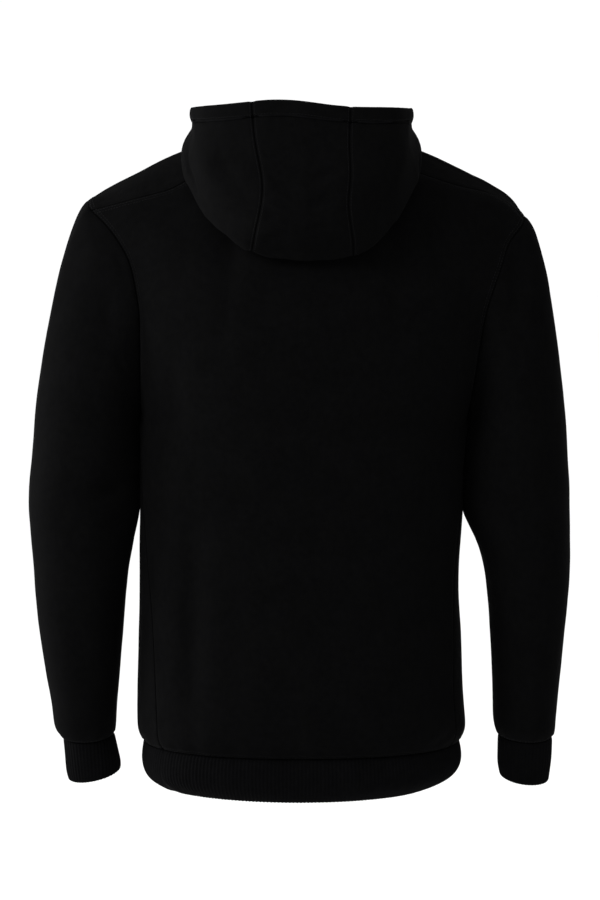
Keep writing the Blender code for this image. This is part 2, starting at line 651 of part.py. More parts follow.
def neck_loop():
    """Neck seam points from the zip over the left shoulder and the back to the zip."""
    def half(side):
        return np.vstack([
            neck_line(NECK_PANEL, NECK_SEAM, side, SIDE_NECK_COLUMNS),
            neck_line(NECK_SEAM, NECK_RIDGE, side, RIDGE_ROWS)[1:],
            neck_line(NECK_RIDGE, len(NECK) - 1, side, FRONT_NECK_COLUMNS)[1:],
        ])

    return half(1)[::-1], centre_neck(), half(-1)


def hood_grids():
    """The hood's left, centre and right panels, from the wearer's left to the right."""
    left, centre, right = neck_loop()
    half_run = lengths(np.vstack([centre[CENTRE_COLUMNS // 2:], right[1:]]))[-1]

    def share(points, side_run):
        return (side_run + lengths(points)) / half_run

    half_centre = centre[CENTRE_COLUMNS // 2:]
    centre_run = lengths(half_centre)[-1]
    right_shares = share(right, centre_run)
    centre_shares = share(half_centre, 0.0)
    right_lines = [meridian(p, w, -1) for p, w in zip(right, right_shares)]
    left_lines = [meridian(p, w, 1) for p, w in zip(left[::-1], right_shares)][::-1]
    left_centre = centre[: CENTRE_COLUMNS // 2 + 1]
    centre_lines = [meridian(p, w, 1) for p, w in zip(left_centre, centre_shares[::-1])]
    centre_lines += [meridian(p, w, -1) for p, w in zip(half_centre[1:], centre_shares[1:])]
    grids = [np.array(lines).transpose(1, 0, 2) for lines in (left_lines, centre_lines, right_lines)]
    grids[1][:, 0], grids[1][:, -1] = grids[0][:, -1], grids[2][:, 0]
    return grids


# --- one form for all cloth ---------------------------------------------------------------
class Form:
    """All outer points and faces of the cloth, with the piece that each face belongs to."""

    def __init__(self):
        self.index = {}
        self.points = []
        self.faces = {}

    def add(self, piece, grid, flip=False):
        """Add a grid of points to a piece; flip turns its faces over."""
        rows, columns = grid.shape[:2]
        ids = np.array([[self.point(grid[i, j]) for j in range(columns)] for i in range(rows)])
        faces = self.faces.setdefault(piece, [])
        for i in range(rows - 1):
            for j in range(columns - 1):
                quad = [ids[i, j], ids[i, j + 1], ids[i + 1, j + 1], ids[i + 1, j]]
                quad = quad[::-1] if flip else quad
                faces.append(tuple(int(k) for k in quad))
        return ids

    def point(self, position):
        """Number of the form's point at a position, made when it is new."""
        key = tuple(np.round(position, 7))
        if key not in self.index:
            self.index[key] = len(self.points)
            self.points.append(np.array(position, float))
        return self.index[key]

    def normals(self):
        """Smooth outward directions at the points, halfway between the parts that meet there."""
        points = np.array(self.points)
        total = np.zeros_like(points)
        for names in PARTS:
            corners = np.array([face for piece in names for face in self.faces[piece]])
            a, b, c, d = (points[corners[:, k]] for k in range(4))
            area = np.cross(c - a, d - b)
            own = np.zeros_like(points)
            for k in range(4):
                np.add.at(own, corners[:, k], area)
            total += own / np.maximum(np.linalg.norm(own, axis=1), TINY)[:, None]
        return total / np.maximum(np.linalg.norm(total, axis=1), TINY)[:, None]

    def tree(self, *pieces):
        """A search tree over the faces of some pieces."""
        faces = [face for piece in pieces for face in self.faces[piece]]
        return BVHTree.FromPolygons([Vector(p) for p in self.points], faces)

    def sink(self, fold):
        """Sink, or raise, the points of some pieces near a line."""
        points, normals = np.array(self.points), self.normals()
        start, end = np.array(fold.start), np.array(fold.end)
        along = end - start
        used = {k for piece in fold.pieces for face in self.faces[piece] for k in face}
        for k in used:
            t = np.clip((points[k] - start) @ along / (along @ along), 0, 1)
            away = np.linalg.norm(points[k] - start - along * t)
            fade = math.sin(math.pi * (FOLD_END + (1 - 2 * FOLD_END) * t))
            weight = math.exp(-((away / fold.half_width) ** 2)) * fade
            self.points[k] = points[k] - normals[k] * fold.depth * weight


def edges_of(faces):
    """Directed edges that only one of the faces has."""
    seen = set()
    for face in faces:
        seen.update(zip(face, face[1:] + face[:1]))
    return [(a, b) for a, b in seen if (b, a) not in seen]


def wall(form, piece, normals, thickness, joined, proud=None):
    """A closed wall of one piece: its points drawn back from its seams, and an inner face.

    thickness and proud give the wall and the rise of each point, by its number.
    """
    faces = form.faces[piece]
    points = np.array(form.points)
    used = sorted({k for face in faces for k in face})
    draw = {k: np.zeros(3) for k in used}
    border = sorted(edges_of(faces))
    for a, b in border:
        if not joined(a, b):
            continue
        along = points[b] - points[a]
        inward = np.cross(normals[a] + normals[b], along)
        inward /= np.linalg.norm(inward)
        for k in (a, b):
            draw[k] = combine(draw[k], inward)
    bm = bmesh.new()
    outer, inner = {}, {}
    for k in used:
        place = points[k] + draw[k] * SEAM_GAP / 2
        rise = proud.get(k, 0.0) if proud else 0.0
        outer[k] = bm.verts.new(place + normals[k] * rise)
        inner[k] = bm.verts.new(place - normals[k] * (thickness(k) - rise))
    for face in faces:
        bm.faces.new([outer[k] for k in face])
        bm.faces.new([inner[k] for k in reversed(face)])
    for a, b in border:
        bm.faces.new([outer[b], outer[a], inner[a], inner[b]])
    bmesh.ops.triangulate(bm, faces=bm.faces[:])
    return bm


def combine(first, second):
    """A step that keeps the full gap to both of two edges that meet in a point."""
    if not first.any():
        return second
    total = first + second
    return total * 2 / max(total @ total, 1.0)


# --- objects and materials ----------------------------------------------------------------
def material(name, colour, roughness, metallic):
    """A Principled material."""
    made = bpy.data.materials.new(name)
    made.use_nodes = True
    shader = made.node_tree.nodes["Principled BSDF"]
    shader.inputs["Base Color"].default_value = (*colour, 1.0)
    shader.inputs["Roughness"].default_value = roughness
    shader.inputs["Metallic"].default_value = metallic
    return made


def finish(bm, name, finish_of, sharp=40.0):
    """Make an object of a mesh, shaded smooth but for its sharp edges."""
    mesh = bpy.data.meshes.new(name)
    bm.to_mesh(mesh)
    bm.free()
    mesh.shade_smooth()
    mesh.set_sharp_from_angle(angle=math.radians(sharp))
    piece = bpy.data.objects.new(name, mesh)
    piece.data.materials.append(finish_of)
    bpy.context.scene.collection.objects.link(piece)
    return piece


# --- cloth --------------------------------------------------------------------------------
def build_form():
    """The garment's form with its large folds, and the hood's rows by point number."""
    form = Form()
    form.add("back", back_grid())
    band_back = np.array([back_row(ring) for ring in BAND])
    form.add("hem_band", band_back, flip=True)
    for side, word in ((1, "left"), (-1, "right")):
        main, over = front_grids(side)
        form.add(f"front_{word}", main, flip=side < 0)
        form.add(f"front_{word}", over, flip=side < 0)
        form.add("hem_band", np.array([front_row(ring, side) for ring in BAND]), flip=side > 0)
        form.add(f"sleeve_{word}", sleeve_grid(side), flip=side > 0)
        form.add(f"cuff_{word}", cuff_grid(side), flip=side > 0)
    hood_rows = {}
    tree = form.tree("back", "front_left", "front_right")
    for word, grid in zip(("left", "centre", "right"), hood_grids()):
        ids = form.add(f"hood_{word}", lifted(grid, tree))
        for row, numbers in enumerate(ids):
            hood_rows.update({int(k): row for k in numbers})
    for fold in FOLDS:
        form.sink(fold)
    return form, hood_rows


def build_cloth(form, hood_rows):
    """All cloth pieces as walls on the form."""
    normals = form.normals()
    owners = {}
    for piece, faces in form.faces.items():
        for face in faces:
            for edge in zip(face, face[1:] + face[:1]):
                owners.setdefault(frozenset(edge), set()).add(piece)

    def joined(a, b):
        return len(owners[frozenset((a, b))]) > 1

    hem_start = HOOD_ROWS + 1
    last_row = HOOD_ROWS + len(HEM_ROWS) - 1
    rise = {k: HEM_PROUD for k, row in hood_rows.items() if hem_start < row < last_row}
    rise.update({k: -HEM_GROOVE for k, row in hood_rows.items() if row == hem_start})

    def hood_wall(k):
        row = hood_rows[k]
        if row <= hem_start:
            return FLEECE
        return HEM_WALL if row < last_row else HEM_WALL * HEM_EDGE

    for piece in form.faces:
        if piece.startswith("hood"):
            bm = wall(form, piece, normals, hood_wall, joined, rise)
        elif piece.startswith(("cuff", "hem")):
            bm = wall(form, piece, normals, lambda k: RIB, joined)
        else:
            bm = wall(form, piece, normals, lambda k: FLEECE, joined)
        colour = RIB_KNIT if piece.startswith(("cuff", "hem")) else BLACK_FLEECE
        finish(bm, piece, colour)
    return normals


# --- zip ----------------------------------------------------------------------------------
def zip_rows(form, normals, side):
    """Two columns of outer points and directions beside the zip, from the hem to the neck."""
    rows = [front_row(ring, side)[:2] for ring in BAND[::-1]]
    main, _ = front_grids(side)
    rows += [row[:2] for row in main[1:]]
    ids = [[form.index[tuple(np.round(p, 7))] for p in row] for row in rows]
    points = np.array([[form.points[k] for k in row] for row in ids])
    return points, np.array([[normals[k] for k in row] for row in ids])


def slab(outer, inner):
    """A closed solid between two grids of points of the same shape."""
    bm = bmesh.new()
    rows, columns = outer.shape[:2]
    front = [[bm.verts.new(outer[i, j]) for j in range(columns)] for i in range(rows)]
    back = [[bm.verts.new(inner[i, j]) for j in range(columns)] for i in range(rows)]
    for i in range(rows - 1):
        for j in range(columns - 1):
            bm.faces.new([front[i][j], front[i][j + 1], front[i + 1][j + 1], front[i + 1][j]])
            bm.faces.new([back[i][j], back[i + 1][j], back[i + 1][j + 1], back[i][j + 1]])
    ring = [(i, 0) for i in range(rows)] + [(rows - 1, j) for j in range(1, columns)]
    ring += [(i, columns - 1) for i in range(rows - 2, -1, -1)] + [(0, j) for j in range(columns - 2, 0, -1)]
    for (i, j), (m, n) in zip(ring, ring[1:] + ring[:1]):
        bm.faces.new([front[i][j], front[m][n], back[m][n], back[i][j]])
    bmesh.ops.recalc_face_normals(bm, faces=bm.faces[:])
    bmesh.ops.triangulate(bm, faces=bm.faces[:])
    return bm


def box(centre, size):
    """A box mesh with slightly broken edges."""
    bm = bmesh.new()
    bmesh.ops.create_cube(bm, size=1.0)
    bmesh.ops.scale(bm, vec=size, verts=bm.verts[:])
    bmesh.ops.translate(bm, vec=centre, verts=bm.verts[:])
    bmesh.ops.bevel(bm, geom=bm.edges[:], offset=min(size) * BOX_BEVEL, segments=1, affect="EDGES")
    return bm


def tape_depth(z):
    """How far inside the cloth's face the zip tape lies at a height: behind the rib or fleece."""
    share = np.clip((z - BAND_SEAM - TAPE_EASE[0]) / TAPE_EASE[1], 0, 1)
    return (RIB * (1 - share) + FLEECE * share) + TAPE_BEHIND


def build_zip(form, normals):
    """Tapes, stops, retainer box, slider and pull tab."""
    for side, word in ((1, "left"), (-1, "right")):
        points, directions = zip_rows(form, normals, side)
        points[-1] -= (points[-1] - points[-2]) * TAPE_SHORT
        depth = tape_depth(points[:, 0, 2])[:, None, None]
        behind = points - directions * depth
        reach = (TAPE_WIDTH - HALF_OPENING) / np.abs(behind[:, 1, 0] - behind[:, 0, 0])[:, None]
        edge, away = behind[:, 0], behind[:, 0] * (1 - reach) + behind[:, 1] * reach
        meet = edge.copy()
        meet[:, 0] = side * TAPE_MEET
        face_points = np.stack([meet, edge, away], axis=1)
        inward = directions[:, [0]] * TAPE_THICK
        finish(slab(face_points, face_points - inward), f"zip_tape_{word}", ZIP_TAPE)
        if side > 0:
            line = edge

    def face(z):
        return float(np.interp(z, line[:, 2], line[:, 1]))

    top, bottom = line[-1, 2], line[0, 2]
    def seated(size, x, z):
        y = min(face(z - size[2] / 2), face(z + size[2] / 2)) - SEAM_GAP - size[1] / 2
        return box((x, y, z), size)

    for side, word in ((1, "left"), (-1, "right")):
        x = side * (STOP_APART + STOP_SIZE[0] / 2)
        stop = seated(STOP_SIZE, x, top - STOP_SIZE[2] * STOP_DOWN)
        finish(stop, f"zip_top_stop_{word}", STEEL)
    retainer = seated(BOX_SIZE, 0.0, bottom + BOX_SIZE[2] * BOX_UP)
    finish(retainer, "zip_bottom_box", STEEL)
    build_slider(face)


def build_slider(face):
    """Slider body with two ears and a pin, and the pull tab that hangs from the pin."""
    z_low = SLIDER_TOP - SLIDER_LENGTH
    slope = math.atan2(face(SLIDER_TOP) - face(z_low), SLIDER_LENGTH)
    seat = (face(SLIDER_TOP) + face(z_low)) / 2 - SEAM_GAP * 1.5
    middle = (SLIDER_TOP + z_low) / 2
    body = make_solid(slider_outline(), SLIDER_THICK)
    ear_y = -SLIDER_THICK - (PIN_PROUD + EAR_PAST) / 2 + EAR_SUNK
    ear_size = (EAR_THICK, PIN_PROUD + EAR_PAST + EAR_SUNK, EAR_LENGTH)
    ears = [box((side * EAR_HALF_SPAN, ear_y, 0.0), ear_size) for side in (-1, 1)]
    pin = tube_x(PIN_RADIUS, EAR_HALF_SPAN, (0, -SLIDER_THICK - PIN_PROUD, 0.0))
    slider = finish(body, "zip_slider", STEEL)
    for mesh in (*ears, pin):
        unite(slider, mesh)
    slider.location = (0, seat, middle)
    slider.rotation_euler = (-slope, 0, 0)
    turned = -SLIDER_THICK - PIN_PROUD
    axis_y = seat + turned * math.cos(slope)
    axis_z = middle - turned * math.sin(slope)
    pull = finish(pull_mesh(), "zip_pull", STEEL)
    pull.location = (0, axis_y, axis_z)
    pull.rotation_euler = (-slope, 0, 0)


def slider_outline():
    """The slider's face outline, wider at its upper end, in X and Z about its middle."""
    half, length = SLIDER_HALF_WIDTH, SLIDER_LENGTH / 2
    return [
        (-half * 0.72, -length),
        (half * 0.72, -length),
        (half * 0.80, -length * 0.2),
        (half, length * 0.45),
        (half * 0.80, length),
        (-half * 0.80, length),
        (-half, length * 0.45),
        (-half * 0.80, -length * 0.2),
    ]


def make_solid(outline, thickness):
    """A plate of an outline in X and Z, from y = 0 to -thickness."""
    bm = bmesh.new()
    base = bm.faces.new([bm.verts.new((x, 0, z)) for x, z in outline])
    grown = bmesh.ops.extrude_face_region(bm, geom=[base])
    moved = [v for v in grown["geom"] if isinstance(v, bmesh.types.BMVert)]
    bmesh.ops.translate(bm, vec=(0, -thickness, 0), verts=moved)
    bmesh.ops.recalc_face_normals(bm, faces=bm.faces[:])
    return bm


def tube_x(radius, half_length, centre, segments=12):
    """A round pin along X."""
    bm = bmesh.new()
    bmesh.ops.create_cone(
        bm, cap_ends=True, segments=segments, radius1=radius, radius2=radius, depth=half_length * 2
    )
    for v in bm.verts:
        x, y, z = v.co
        v.co = (z + centre[0], y + centre[1], x + centre[2])
    bmesh.ops.recalc_face_normals(bm, faces=bm.faces[:])
    return bm


def unite(target, bm):
    """Join a mesh to an object with an exact Boolean union, and apply it."""
    tool = finish(bm, "tool", STEEL)
    union = target.modifiers.new("union", "BOOLEAN")
    union.operation = "UNION"
    union.solver = "EXACT"
    union.object = tool
    depsgraph = bpy.context.evaluated_depsgraph_get()
    mesh = bpy.data.meshes.new_from_object(target.evaluated_get(depsgraph))
    target.modifiers.clear()
    target.data = mesh
    bpy.data.objects.remove(tool)


def pull_mesh(segments=16):
    """Pull tab: an eye round the pin and a tapered tab, in one outline extruded along X.

    The eye is a ring in Y and Z; the tab hangs from it, flat against the zip.
    """
    half = EAR_HALF_SPAN - EAR_THICK / 2 - SEAM_GAP
    bm = bmesh.new()
    rings = []
    for x in (-half, half):
        outer, inner = [], []
        for k in range(segments):
            angle = 2 * math.pi * k / segments
            c, s = math.cos(angle), math.sin(angle)
            outer.append(bm.verts.new((x, EYE_OUTER * s, EYE_OUTER * c)))
            inner.append(bm.verts.new((x, EYE_INNER * s, EYE_INNER * c)))
        rings.append((outer, inner))
    (outer_a, inner_a), (outer_b, inner_b) = rings
    for k in range(segments):
        n = (k + 1) % segments
        bm.faces.new([outer_a[k], outer_a[n], outer_b[n], outer_b[k]])
        bm.faces.new([inner_a[n], inner_a[k], inner_b[k], inner_b[n]])
        bm.faces.new([outer_a[n], outer_a[k], inner_a[k], inner_a[n]])
        bm.faces.new([outer_b[k], outer_b[n], inner_b[n], inner_b[k]])
    bmesh.ops.recalc_face_normals(bm, faces=bm.faces[:])
    eye = finish(bm, "eye", STEEL)
    top = -(EYE_INNER + EYE_OUTER) / 2
    right = [
        (half, top),
        (half, -PULL_NECK[0]),
        (PULL_HALF_WIDTH, -PULL_NECK[1]),
        (PULL_HALF_WIDTH, -PULL_LENGTH + PULL_TIP[1]),
        (PULL_TIP[0], -PULL_LENGTH),
    ]
    shape = right + [(-x, z) for x, z in reversed(right)]
    tab = make_solid(shape, PULL_THICK)
    bmesh.ops.translate(tab, vec=(0, PULL_THICK / 2, 0), verts=tab.verts[:])
    unite(eye, tab)
    joined = bmesh.new()
    joined.from_mesh(eye.data)
    bpy.data.objects.remove(eye)
    return joined


# --- build --------------------------------------------------------------------------------
for item in list(bpy.data.objects):
    bpy.data.objects.remove(item)

BLACK_FLEECE = material("black_fleece", (0.0045, 0.0045, 0.0050), 0.92, 0.0)
RIB_KNIT = material("black_rib", (0.0040, 0.0040, 0.0045), 0.90, 0.0)
ZIP_TAPE = material("zip_tape", (0.0060, 0.0060, 0.0065), 0.75, 0.0)
STEEL = material("dark_steel", (0.10, 0.10, 0.105), 0.35, 1.0)

garment, rows_of_hood = build_form()
directions_of_form = build_cloth(garment, rows_of_hood)
build_zip(garment, directions_of_form)
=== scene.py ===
"""Hooded zip-up sweatshirt of black fleece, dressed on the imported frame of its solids.

Metres, +Z up. The front faces -Y and the wearer's left is +X, as in the frame. Each cut piece
becomes a thin shell on the form of its own solid, with soft creases, sunk seams, rows of
stitches, real ribs, a toothed zip and node-based finishes. The studio stands round it.
"""

import json
import logging
import math
from collections.abc import Iterable, Mapping, Sequence
from dataclasses import dataclass, field
from enum import Enum
from typing import Any

import bmesh
import bpy
import numpy as np
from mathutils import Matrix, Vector, noise
from mathutils.bvhtree import BVHTree
from mathutils.kdtree import KDTree

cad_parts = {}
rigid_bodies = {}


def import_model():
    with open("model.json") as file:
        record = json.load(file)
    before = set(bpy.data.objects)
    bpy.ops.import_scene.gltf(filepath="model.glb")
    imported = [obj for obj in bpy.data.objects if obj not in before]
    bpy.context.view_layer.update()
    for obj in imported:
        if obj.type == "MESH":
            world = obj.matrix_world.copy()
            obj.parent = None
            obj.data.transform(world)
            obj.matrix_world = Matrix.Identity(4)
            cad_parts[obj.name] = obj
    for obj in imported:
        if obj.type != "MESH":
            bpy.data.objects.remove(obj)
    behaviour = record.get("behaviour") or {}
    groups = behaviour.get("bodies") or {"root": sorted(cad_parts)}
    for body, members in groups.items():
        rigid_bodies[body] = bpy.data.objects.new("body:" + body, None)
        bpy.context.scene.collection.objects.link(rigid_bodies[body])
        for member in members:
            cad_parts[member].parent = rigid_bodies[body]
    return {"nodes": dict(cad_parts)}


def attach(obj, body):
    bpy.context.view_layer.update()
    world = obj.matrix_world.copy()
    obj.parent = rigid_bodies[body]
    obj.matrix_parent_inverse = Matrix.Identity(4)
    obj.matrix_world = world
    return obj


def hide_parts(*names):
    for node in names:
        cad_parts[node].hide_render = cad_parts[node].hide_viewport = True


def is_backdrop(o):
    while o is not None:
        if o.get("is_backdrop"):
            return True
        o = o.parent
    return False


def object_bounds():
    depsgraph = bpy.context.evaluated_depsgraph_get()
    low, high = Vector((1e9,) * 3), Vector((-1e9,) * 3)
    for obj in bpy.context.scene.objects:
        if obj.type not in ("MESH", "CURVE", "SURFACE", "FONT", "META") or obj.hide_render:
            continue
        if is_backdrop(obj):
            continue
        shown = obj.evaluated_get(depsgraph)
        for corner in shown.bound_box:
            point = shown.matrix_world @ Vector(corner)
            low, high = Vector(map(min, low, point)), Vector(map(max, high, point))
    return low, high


LOG = logging.getLogger("sweatshirt")
GARMENT = "garment"
HOODS = ("hood_left", "hood_centre", "hood_right")

SEAM_STEP = 0.0006  # how finely a seam is sampled to measure from it
RIB_STEP = 0.0001  # how finely a band's edge is sampled to count its ribs
FAR = 0.05  # further from a seam than its pull is felt
FREE = 0.2  # further from the neck seam than it holds the hood
BROAD_WAVES, SMALL_WAVES = 14.0, 42.0  # unevenness of the cloth, in waves to the metre
SMALL_SHARE = 0.35

Point = tuple[float, float, float]
Colour = tuple[float, float, float]
Faces = list[tuple[int, ...]]
Lines = list[tuple[np.ndarray, np.ndarray]]  # points and the directions off the cloth
Object, Mesh, Material = bpy.types.Object, bpy.types.Mesh, bpy.types.Material
Shape = bmesh.types.BMesh
Nodes = Mapping[str, Object]


def point_tree(points: Iterable[Sequence[float]]) -> KDTree:
    """A balanced search tree over points.

    Args:
        points: The points, numbered in their order.

    Returns:
        The tree.
    """
    listed = list(points)
    tree = KDTree(len(listed))
    for index, point in enumerate(listed):
        tree.insert(point, index)
    tree.balance()
    return tree


def edge_key(a: int, b: int) -> tuple[int, int]:
    """Both ends of an edge, the lower number first."""
    return (a, b) if a < b else (b, a)


def mesh_of(name: str, shape: Shape) -> Mesh:
    """Turn a shape into a mesh, and free the shape.

    Args:
        name: The mesh's name.
        shape: The shape.

    Returns:
        The mesh.
    """
    mesh = bpy.data.meshes.new(name)
    shape.to_mesh(mesh)
    shape.free()
    return mesh


def placed(name: str, data: bpy.types.ID, *finishes: Material) -> Object:
    """Put a mesh, light or camera into the scene.

    Args:
        name: The object's name.
        data: What the object shows.
        finishes: Materials of a mesh, in the order of its slots.

    Returns:
        The object.
    """
    for finish in finishes:
        data.materials.append(finish)
    item = bpy.data.objects.new(name, data)
    bpy.context.scene.collection.objects.link(item)
    return item


# --- shader maths -------------------------------------------------------------------------
class Wire:
    """An output socket of a material, on which Python operators add Math nodes."""

    def __init__(self, graph: "Graph", socket: bpy.types.NodeSocket) -> None:
        """Keep the graph that the socket belongs to."""
        self.graph = graph
        self.socket = socket

    def __add__(self, other: "Wire | float") -> "Wire":
        """Add."""
        return self.graph.maths("ADD", self, other)

    def __sub__(self, other: "Wire | float") -> "Wire":
        """Subtract."""
        return self.graph.maths("SUBTRACT", self, other)

    def __rsub__(self, other: "Wire | float") -> "Wire":
        """Subtract from a number."""
        return self.graph.maths("SUBTRACT", other, self)

    def __mul__(self, other: "Wire | float") -> "Wire":
        """Multiply."""
        return self.graph.maths("MULTIPLY", self, other)

    def __truediv__(self, other: "Wire | float") -> "Wire":
        """Divide."""
        return self.graph.maths("DIVIDE", self, other)

    def __pow__(self, other: "Wire | float") -> "Wire":
        """Raise to a power."""
        return self.graph.maths("POWER", self, other)

    def __neg__(self) -> "Wire":
        """Turn the sign over."""
        return self.graph.maths("MULTIPLY", self, -1.0)

    __radd__ = __add__
    __rmul__ = __mul__


class Graph:
    """The node tree of one material."""

    def __init__(self, name: str) -> None:
        """Make an empty material of that name.

        Args:
            name: The material's name.
        """
        self.material = bpy.data.materials.new(name)
        self.material.use_nodes = True
        self.tree = self.material.node_tree
        self.tree.nodes.clear()

    def node(
        self, kind: str, settings: Mapping[str, Any], sockets: Mapping[int | str, Any]
    ) -> bpy.types.Node:
        """Add a node of any type.

        Args:
            kind: The node's type, such as ShaderNodeTexNoise.
            settings: Its own settings, which are set first; "stops" fills a ramp.
            sockets: Values or wires by the name or number of the input.

        Returns:
            The new node.
        """
        made = self.tree.nodes.new(kind)
        for name, value in settings.items():
            if name == "stops":
                self._fill_ramp(made.color_ramp, value)
            else:
                setattr(made, name, value)
        for key, value in sockets.items():
            if isinstance(value, Wire):
                self.tree.links.new(value.socket, made.inputs[key])
            else:
                made.inputs[key].default_value = value
        return made

    @staticmethod
    def _fill_ramp(ramp: bpy.types.ColorRamp, stops: Sequence[tuple[float, float]]) -> None:
        """Give a ramp its stops, each a place and a grey value.

        Args:
            ramp: The ramp.
            stops: Its stops, each a place and a grey value.
        """
        while len(ramp.elements) < len(stops):
            ramp.elements.new(1.0)
        for element, (place, grey) in zip(ramp.elements, stops):
            element.position = place
            element.color = (grey, grey, grey, 1.0)

    def out(self, node: bpy.types.Node, key: int | str = 0) -> Wire:
        """Wrap an output of a node."""
        return Wire(self, node.outputs[key])

    def maths(self, operation: str, *values: Wire | float) -> Wire:
        """Add a Math node on values or wires."""
        settings = {"operation": operation}
        return self.out(self.node("ShaderNodeMath", settings, dict(enumerate(values))))

    def mixed(self, share: Wire | float, first: Wire | Colour, second: Wire | Colour) -> Wire:
        """Mix two colours by a share.

        Args:
            share: 0 for the first colour, 1 for the second.
            first: A colour or a wire of one.
            second: A colour or a wire of one.

        Returns:
            The mixed colour.
        """
        ends = [value if isinstance(value, Wire) else (*value, 1.0) for value in (first, second)]
        settings = {"data_type": "RGBA", "clamp_factor": True}
        return self.out(self.node("ShaderNodeMix", settings, {0: share, 6: ends[0], 7: ends[1]}), 2)

    def noise(self, place: Wire, scale: float, detail: float = 2.0) -> Wire:
        """Add a noise texture, from 0 to 1, with a scale for each metre."""
        sockets = {"Vector": place, "Scale": scale, "Detail": detail, "Roughness": 0.55}
        return self.out(self.node("ShaderNodeTexNoise", {}, sockets), 0)

    def place(self) -> Wire:
        """Coordinates of the piece itself, in metres."""
        return self.out(self.node("ShaderNodeTexCoord", {}, {}), "Object")

    def grain(self) -> tuple[Wire, Wire]:
        """Coordinates along the cloth's courses and wales, in metres.

        Returns:
            The two coordinates.
        """
        uv = self.out(self.node("ShaderNodeUVMap", {"uv_map": "grain"}, {}))
        split = self.node("ShaderNodeSeparateXYZ", {}, {0: uv})
        return self.out(split, 0), self.out(split, 1)

    def measure(self, name: str) -> Wire:
        """A number that the mesh carries at its points."""
        return self.out(self.node("ShaderNodeAttribute", {"attribute_name": name}, {}), "Fac")

    def bumped(self, height: Wire, strength: float = 1.0) -> Wire:
        """Turn a height in metres into a surface direction."""
        sockets = {"Strength": strength, "Distance": 1.0, "Height": height}
        return self.out(self.node("ShaderNodeBump", {}, sockets))

    def finish(self, sockets: Mapping[str, Any]) -> Material:
        """Close the material with a Principled shader.

        Args:
            sockets: Values or wires of the shader's inputs.

        Returns:
            The finished material.
        """
        shader = self.node("ShaderNodeBsdfPrincipled", {}, sockets)
        self.node("ShaderNodeOutputMaterial", {}, {"Surface": self.out(shader)})
        return self.material


# --- finishes -----------------------------------------------------------------------------
@dataclass(frozen=True)
class KnitFinish:
    """Black knit: fine wales, nap, lint, and painted shade that darkens the sunk lines of its seams and
    hems.
    """

    name: str
    dark: Colour = (0.00085, 0.00085, 0.0009)
    light: Colour = (0.0022, 0.0022, 0.0023)
    # painted shade: the near-black that the cloth is darkened to along sunk seam and hem lines, for the
    # shade in their grooves
    seam: Colour = (0.0002, 0.0002, 0.00025)
    roughness: float = 0.9
    specular: float = 0.006
    sheen: float = 0.002
    wale: float = 0.00105
    course: float = 0.00085
    knit_height: float = 0.00007
    nap_height: float = 0.00006
    uneven_height: float = 0.00022
    seam_depth: float = 0.0007
    seam_width: float = 0.75
    nap_scale: float = 2400.0
    soft_scale: float = 140.0
    broad_scale: float = 26.0

    def make(self) -> Material:
        """Build the material.

        Returns:
            The material.
        """
        graph = Graph(self.name)
        place = graph.place()
        around, along = graph.grain()
        wave = graph.maths("PINGPONG", around / self.wale, 0.5) * 2.0
        slant = graph.maths("SINE", (along / self.course + wave * 0.6) * math.tau)
        stitch = (1.0 - wave * wave) * (slant * 0.25 + 0.75)
        nap = graph.noise(place, self.nap_scale, 3.0)
        soft = graph.noise(place, self.soft_scale)
        broad = graph.noise(place, self.broad_scale)
        # mask of the sunk seam and hem lines: it sinks the bump there and paints shade into the base
        # colour
        away = graph.measure("seam")
        line = graph.maths("EXPONENT", -((away / self.seam_width) ** 2.0))
        height = stitch * self.knit_height + nap * self.nap_height
        height = height + soft * self.uneven_height - line * self.seam_depth
        cloudy = graph.maths("MULTIPLY_ADD", soft, 0.45, broad * 0.35 + nap * 0.25)
        share = graph.maths("MULTIPLY_ADD", cloudy, 1.3, -0.2)
        shade = graph.mixed(share, self.dark, self.light)
        # painted shade: the base colour darkened along the sunk lines, where their grooves would be
        # shaded
        shade = graph.mixed(line * 0.9, shade, self.seam)
        rough = graph.maths("MULTIPLY_ADD", nap, 0.12, self.roughness - 0.06)
        return graph.finish(
            {
                "Base Color": shade,
                "Roughness": rough,
                "Normal": graph.bumped(height),
                "Specular IOR Level": self.specular,
                "Sheen Weight": self.sheen,
                "Sheen Roughness": 0.45,
                "Sheen Tint": (1.0, 1.0, 1.0, 1.0),
            }
        )


@dataclass(frozen=True)
class ThreadFinish:
    """Twisted sewing thread."""

    name: str
    dark: Colour = (0.0017, 0.0017, 0.0019)
    light: Colour = (0.0046, 0.0046, 0.0050)
    roughness: float = 0.6
    ply: float = 0.0005
    lint_scale: float = 3200.0

    def make(self) -> Material:
        """Build the material.

        Returns:
            The material.
        """
        graph = Graph(self.name)
        place = graph.place()
        ply = graph.node(
            "ShaderNodeTexWave",
            {"wave_type": "BANDS", "bands_direction": "DIAGONAL"},
            {"Vector": place, "Scale": 1.0 / self.ply / 20.0, "Distortion": 1.5, "Detail": 1.0},
        )
        twist = graph.out(ply, 1)
        lint = graph.noise(place, self.lint_scale)
        return graph.finish(
            {
                "Base Color": graph.mixed(twist * 0.6 + lint * 0.4, self.dark, self.light),
                "Roughness": graph.maths("MULTIPLY_ADD", lint, 0.15, self.roughness),
                "Normal": graph.bumped(twist * 0.00005),
                "Specular IOR Level": 0.04,
            }
        )


